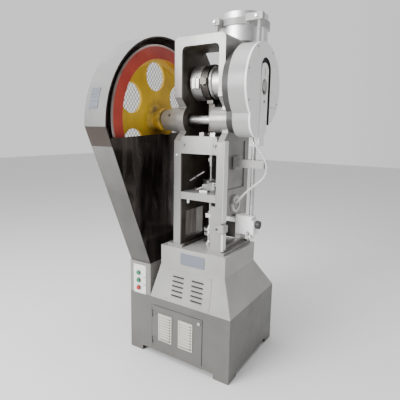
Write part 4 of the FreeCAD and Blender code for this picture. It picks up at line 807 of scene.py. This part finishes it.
def cover_reach(angle):
    """Distance from the main shaft's axis to the gear cover's outline, and to the yoke channel's edge."""
    along, up = math.cos(angle), math.sin(angle)
    lobe_y, lobe_z, lobe_radius = -0.063, -0.1646, 0.088
    outline = 0.205
    near = along * lobe_y + up * lobe_z
    gap = near ** 2 - (lobe_y ** 2 + lobe_z ** 2 - lobe_radius ** 2)
    if near > 0 and gap > 0:
        outline = max(outline, near + math.sqrt(gap))
    arch_y, arch_z, arch_radius = 0.014, 0.0724, 0.062
    channel = 9
    if abs(along) > 1e-6:
        channel = (arch_y + arch_radius if along > 0 else arch_y - arch_radius) / along
    if channel * up > arch_z:
        near = along * arch_y + up * arch_z
        channel = near + math.sqrt(near ** 2 - (arch_y ** 2 + arch_z ** 2 - arch_radius ** 2))
    return outline, channel


def raised_from(tenths):
    """First angle in a range of tenths of a degree at which the cover reaches past the channel."""
    for tenth in tenths:
        outline, channel = cover_reach(math.radians(tenth / 10))
        if channel < outline:
            return tenth / 10


def face_edges(angle):
    """The raised face runs from the channel's edge to the cover's outline."""
    outline, channel = cover_reach(angle)
    return channel, outline


def wall_edges(angle):
    """A thin band of painted shadow on the channel's far wall, just inside its edge."""
    channel = cover_reach(angle)[1]
    return channel - 0.0014, channel - 0.0002


def floor_edges(angle):
    """A band of painted shadow on the channel's floor, beside its wall."""
    channel = cover_reach(angle)[1]
    return min(channel - 0.002, channel * 0.56), channel - 0.0014


def polar_strip(mesh, start, end, count, reach, back, front):
    """Add a flat strip about the main shaft between two distances that vary with the angle."""
    rows = []
    for step in range(count + 1):
        angle = math.radians(start + (end - start) * step / count)
        inner, outer = reach(angle)
        outer = max(outer, inner + 0.0005)
        along, up = math.cos(angle), math.sin(angle)
        corners = ((back, outer), (front, outer), (front, inner), (back, inner))
        rows.append([mesh.verts.new((x, MAIN_Y + along * far, MAIN_Z + up * far)) for x, far in corners])
    close_strip(mesh, rows)


def cover_details(paint, steel, dark, shade):
    """Raised face of the gear cover with the yoke's channel in it, painted shade on the channel and in the
    yoke's slot, joint line and screws.
    """
    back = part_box("gear_cover")[1][0] - 0.0001
    front = back + 0.0100
    open_from = raised_from(range(-900, 0))
    open_to = raised_from(range(-900, -1800, -1)) + 360
    raised = bmesh.new()
    polar_strip(raised, open_from, open_to, 300, face_edges, back, front)
    piece("cover_raised_face", raised, paint, bevel=0.0016)
    # Painted shade on the channel's far wall and on its floor beside it.
    channel_shade = bmesh.new()
    polar_strip(channel_shade, open_from, 150, 200, wall_edges, back, front - 0.0007)
    polar_strip(channel_shade, open_from, 150, 200, floor_edges, back, back + 0.0006)
    piece("yoke_channel_shadow", channel_shade, shade)
    # Painted shade in the yoke's slot and in a ring round the shaft's opening.
    slot_shade = bmesh.new()
    block(slot_shade, (back, MAIN_Y - 0.009, 1.551), (back + 0.0012, MAIN_Y + 0.009, 1.603))
    hoop(slot_shade, "X", (back, MAIN_Y, MAIN_Z), 0.0335, 0.027, 0.0012, 48)
    piece("yoke_slot_shade", slot_shade, shade)
    plugs = bmesh.new()
    yoke_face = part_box("lift_yoke")[1][0]
    lathe(plugs, "X", (yoke_face - 0.0005, MAIN_Y, 1.432), screw_profile(0.0075, 0.0022), 24)
    piece("yoke_plug", plugs, dark, body="lift")
    heads = bmesh.new()
    screw_circle = 0.190
    for degrees in (62, 118, 162, 205, 335):
        y = MAIN_Y + screw_circle * math.cos(math.radians(degrees))
        z = MAIN_Z + screw_circle * math.sin(math.radians(degrees))
        lathe(heads, "X", (front - 0.0001, y, z), screw_profile(0.005, 0.0022), 20)
    piece("cover_screws", heads, steel)
    joint = bmesh.new()
    block(joint, (front - 0.0001, MAIN_Y + 0.080, 1.4075), (front + 0.0006, MAIN_Y + 0.170, 1.4095))
    piece("cover_joint_line", joint, steel)
    nut = bmesh.new()
    shaft_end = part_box("main_shaft")[1][0]
    nut_profile = [(0, 0.0155), (0.0028, 0.0155), (0.0032, 0.013)]
    lathe(nut, "X", (shaft_end - 0.0035, MAIN_Y, MAIN_Z), nut_profile, 6)
    piece("shaft_end_nut", nut, dark, body="main_shaft")


def drain_ring(steel):
    """Bright rings round the cheek's drain boss."""
    centre_y, centre_z = -0.079, 0.905
    mesh = bmesh.new()
    hoop(mesh, "X", (0.2398, centre_y, centre_z), 0.0445, 0.0305, 0.003, 64)
    hoop(mesh, "X", (0.2315, centre_y, centre_z), 0.0475, 0.0455, 0.008, 64)
    piece("drain_boss_ring", mesh, steel, bevel=0.0006)


def eccentric_details(steel, dark):
    """Face ring, clamp screw and scale marks on the eccentric's drum."""
    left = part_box("eccentric")[0][0]
    ring = bmesh.new()
    hoop(ring, "X", (left - 0.0004, MAIN_Y, ECCENTRIC_Z), 0.0895, 0.078, 0.0014, 80)
    piece("eccentric_face_ring", ring, dark, body="main_shaft")
    screw = bmesh.new()
    lathe(screw, "Z", (left + 0.041, -0.163, 1.5496), [(0, 0.0075), (0.0065, 0.0075), (0.008, 0.0062)], 6)
    piece("eccentric_clamp_screw", screw, steel, body="main_shaft")
    marks = bmesh.new()
    count = 40
    scale_radius = 0.0902
    scale_end = 0.045
    for step in range(count):
        angle = 2 * math.pi * step / count
        y = MAIN_Y + scale_radius * math.cos(angle)
        z = ECCENTRIC_Z + scale_radius * math.sin(angle)
        length = 0.012 if step % 5 == 0 else 0.007
        block(marks, (scale_end - length, y - 0.0003, z - 0.0005), (scale_end, y + 0.0003, z + 0.0005),
              Matrix.Rotation(angle, 4, "X"))
    piece("eccentric_scale_marks", marks, dark, body="main_shaft")


def hopper_details(steel):
    """Rolled rim on the hopper and the bolts of its ring clamp."""
    low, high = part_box("hopper")
    centre_x = (low[0] + high[0]) / 2
    centre_y = (low[1] + high[1]) / 2
    radius = (high[0] - low[0]) / 2
    rim = bmesh.new()
    hoop(rim, "Z", (centre_x, centre_y, high[2] - 0.006), radius - 0.0001, radius - 0.005, 0.0058, 96)
    piece("hopper_rim", rim, steel, bevel=0.001)
    clamp_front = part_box("hopper_bracket")[0][1]
    bolts = bmesh.new()
    for x in (0.064, 0.300):
        lathe(bolts, "Y", (x, clamp_front, 1.846), [(-0.006, 0.007), (-0.005, 0.0085), (0.001, 0.0085)], 6)
    piece("hopper_clamp_bolts", bolts, steel)


def foundation_nuts(dark):
    """Nuts of the foundation bolts on the pads inside the four feet."""
    mesh = bmesh.new()
    for x in (-0.286, 0.286):
        for y in (-0.240, 0.240):
            lathe(mesh, "Z", (x, y, 0.0102), [(0, 0.016), (0.012, 0.016), (0.014, 0.0135)], 6)
    piece("foundation_nuts", mesh, dark)


# ---------------------------------------------------------------- stage

def add_stage():
    """Pale floor, white surroundings and soft lamps, strongest from the front left."""
    floor_half = 14
    mesh = bmesh.new()
    bmesh.ops.create_grid(mesh, x_segments=1, y_segments=1, size=floor_half)
    data = bpy.data.meshes.new("floor")
    mesh.to_mesh(data)
    mesh.free()
    data.materials.append(pale_floor())
    floor = bpy.data.objects.new("floor", data)
    bpy.context.scene.collection.objects.link(floor)
    world = bpy.data.worlds.new("studio")
    world.use_nodes = True
    tree = world.node_tree
    sky = tree.nodes["Background"]
    sky.inputs["Color"].default_value = (1, 1, 1, 1)
    direction = tree.nodes.new("ShaderNodeTexCoord").outputs["Generated"]
    split = tree.nodes.new("ShaderNodeSeparateXYZ")
    fade = tree.nodes.new("ShaderNodeMapRange")
    for socket, number in (("From Min", -0.2), ("From Max", 0.8), ("To Min", 0.95), ("To Max", 0.22)):
        fade.inputs[socket].default_value = number
    tree.links.new(direction, split.inputs["Vector"])
    tree.links.new(split.outputs["X"], fade.inputs["Value"])
    tree.links.new(fade.outputs["Result"], sky.inputs["Strength"])
    bpy.context.scene.world = world
    add_lamp("key", (-1.3, -3.6, 2.3), (0, 0, 0.9), 2.0, 190)
    add_lamp("top", (-0.2, -0.9, 4.3), (0, 0, 1), 2.4, 110)
    add_lamp("rim", (2.6, 0.9, 2.4), (0.2, 0, 1.3), 1.6, 10)


def add_lamp(name, place, target, size, power):
    """A square soft lamp that faces a target."""
    data = bpy.data.lights.new(name, "AREA")
    data.size = size
    data.energy = power
    lamp = bpy.data.objects.new(name, data)
    lamp.location = place
    lamp.rotation_euler = (Vector(target) - Vector(place)).to_track_quat("-Z", "Y").to_euler()
    bpy.context.scene.collection.objects.link(lamp)


# ---------------------------------------------------------------- build

def dress(material, *names):
    """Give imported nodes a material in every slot."""
    for name in names:
        for slot in nodes[name].material_slots:
            slot.material = material


add_camera()
add_hose(clear_hose())

cabinet_paint = enamel("cabinet_paint", (0.120, 0.118, 0.110))
hood_paint = enamel("hood_paint", (0.36, 0.355, 0.34), dust=0.0)
column_paint = enamel("column_paint", (0.25, 0.24, 0.225), dust=0.0)
shade = casting("shade", (0.012, 0.011, 0.01), 0.6)
half_shade = casting("half_shade", (0.09, 0.085, 0.07), 0.6)
guard_paint = guard_enamel()
# Partly painted light: the grilles' enamel is far paler than the door's so the slats look lit.
grille_paint = enamel("grille_paint", (0.55, 0.53, 0.46), dust=0.1)
plate_paint = enamel("plate_paint", (0.8, 0.8, 0.78), 0.35, 0.04, 0.0)
# Painted shade: a grey copy of the gear cover's white paint darkens the cover's band; the hopper bracket
# gets it too.
cover_paint = enamel("cover_paint", (0.38, 0.38, 0.375), 0.32, 0.06, 0.0)
cover_face_paint = enamel("cover_face_paint", (0.95, 0.95, 0.94), 0.3, 0.02, 0.0)
cast_paint = casting("cast_paint", (0.38, 0.375, 0.365), 0.36, 0.45)
cheek_paint_and_shade = frame_casting()
dark_cast = casting("dark_cast", (0.06, 0.056, 0.05), 0.55)
# Painted shade: the cover spacer is near black for the shaded gap between the boss and the gear cover.
spacer_paint = casting("spacer_paint", (0.035, 0.034, 0.033), 0.45)
bright = ground_steel("bright_steel", (0.68, 0.68, 0.67), 0.26, "Z", 0.2)
shaft_steel = ground_steel("shaft_steel", (0.6, 0.6, 0.59), 0.24, "X", 0.25)
drum_steel = ground_steel("drum_steel", (0.7, 0.69, 0.67), 0.4, "X", 0.25)
oiled_steel = ground_steel("oiled_steel", (0.12, 0.11, 0.1), 0.36, "Z", 0.5)
hopper_steel = ground_steel("hopper_steel", (0.95, 0.95, 0.95), 0.36, "Z", 0.08)
feed_metal = ground_steel("feed_metal", (0.82, 0.82, 0.81), 0.34, "X", 0.1)
lift_paint = enamel("lift_paint", (0.95, 0.95, 0.94), 0.36, 0.02, 0.0)
black_plastic = moulded("black_plastic", (0.02, 0.02, 0.02), 0.4)
screw_steel = ground_steel("screw_steel", (0.4, 0.4, 0.39), 0.35, "Z", 0.3)
bronze_metal = bronze()
plain_plate = etched_plate()

dress(cabinet_paint, "base_cabinet", "access_door", "door_hinges")
dress(hood_paint, "pedestal_hood", "louvre_plate")
dress(column_paint, "control_column")
dress(grille_paint, "door_grilles")
dress(guard_paint, "guard_band")
dress(polished_plate(), "guard_side_cover")
dress(wheel_paint(), "flywheel")
dress(belt_rubber(), "v_belts")
dress(casting("motor_paint", (0.1, 0.16, 0.2)), "motor")
dress(cheek_paint_and_shade, "left_cheek", "right_cheek", "head_bridge")
# On the rear wall this dark tone is also painted shade, for the dark interior seen between the legs.
dress(dark_cast, "rear_wall", "foundation_pads", "motor_pulley")
dress(cast_paint, "rod_guide_bracket", "die_table", "ram_guide_cap", "guide_cap_bolts")
# Painted shade: the gear cover's band takes the grey shaded copy of its white paint.
dress(cover_paint, "gear_cover", "hopper_bracket")
dress(spacer_paint, "cover_spacer")
dress(bright, "ram", "ram_guide", "die", "punch_holder", "upper_punch", "lower_punch", "lift_rod",
      "feed_pivot", "lower_sleeve", "door_lock", "hose_elbow", "wrist_pin")
dress(cover_face_paint, "lift_yoke")
dress(shaft_steel, "countershaft", "main_shaft", "motor_shaft")
dress(drum_steel, "eccentric")
dress(oiled_steel, "pinion", "main_gear", "strap_cap", "connecting_rod", "strap_bolts",
      "frame_foot_bolts")
dress(bronze_metal, "shaft_bushes")
dress(bright, "ejection_gear", "fill_gear")
dress(feed_metal, "feed_shoe")
dress(lift_paint, "lift_block")
dress(hopper_steel, "hopper")
dress(black_plastic, "clamp_knob")
dress(moulded("green_plastic", (0.02, 0.22, 0.10)), "start_button", "jog_button")
dress(moulded("red_plastic", (0.5, 0.02, 0.015)), "stop_button")

for name in ("base_cabinet", "access_door", "control_column", "pedestal_hood", "left_cheek",
             "right_cheek", "head_bridge", "die_table", "ram_guide_cap", "lift_block", "rod_guide_bracket"):
    soften(nodes[name], 0.0022)

wire_mesh(oiled_steel)
guard_lips(guard_paint)
guard_label(plain_plate, screw_steel)
control_plate(plate_paint, screw_steel, screw_steel)
louvre_details(hood_paint, shade, half_shade, screw_steel)
# The dark oiled steel here paints the shadows of the grilles' slats.
grille_details(oiled_steel)
hood_plate(plain_plate, screw_steel)
cabinet_seams(black_plastic, hood_paint)
# The near-white plate paint on the right cheek's strip is a painted highlight.
frame_details(cast_paint, plate_paint, oiled_steel)
feed_linkage(bright, oiled_steel)
cover_details(cover_face_paint, screw_steel, oiled_steel, shade)
drain_ring(bright)
eccentric_details(screw_steel, oiled_steel)
hopper_details(hopper_steel)
foundation_nuts(oiled_steel)
add_stage()
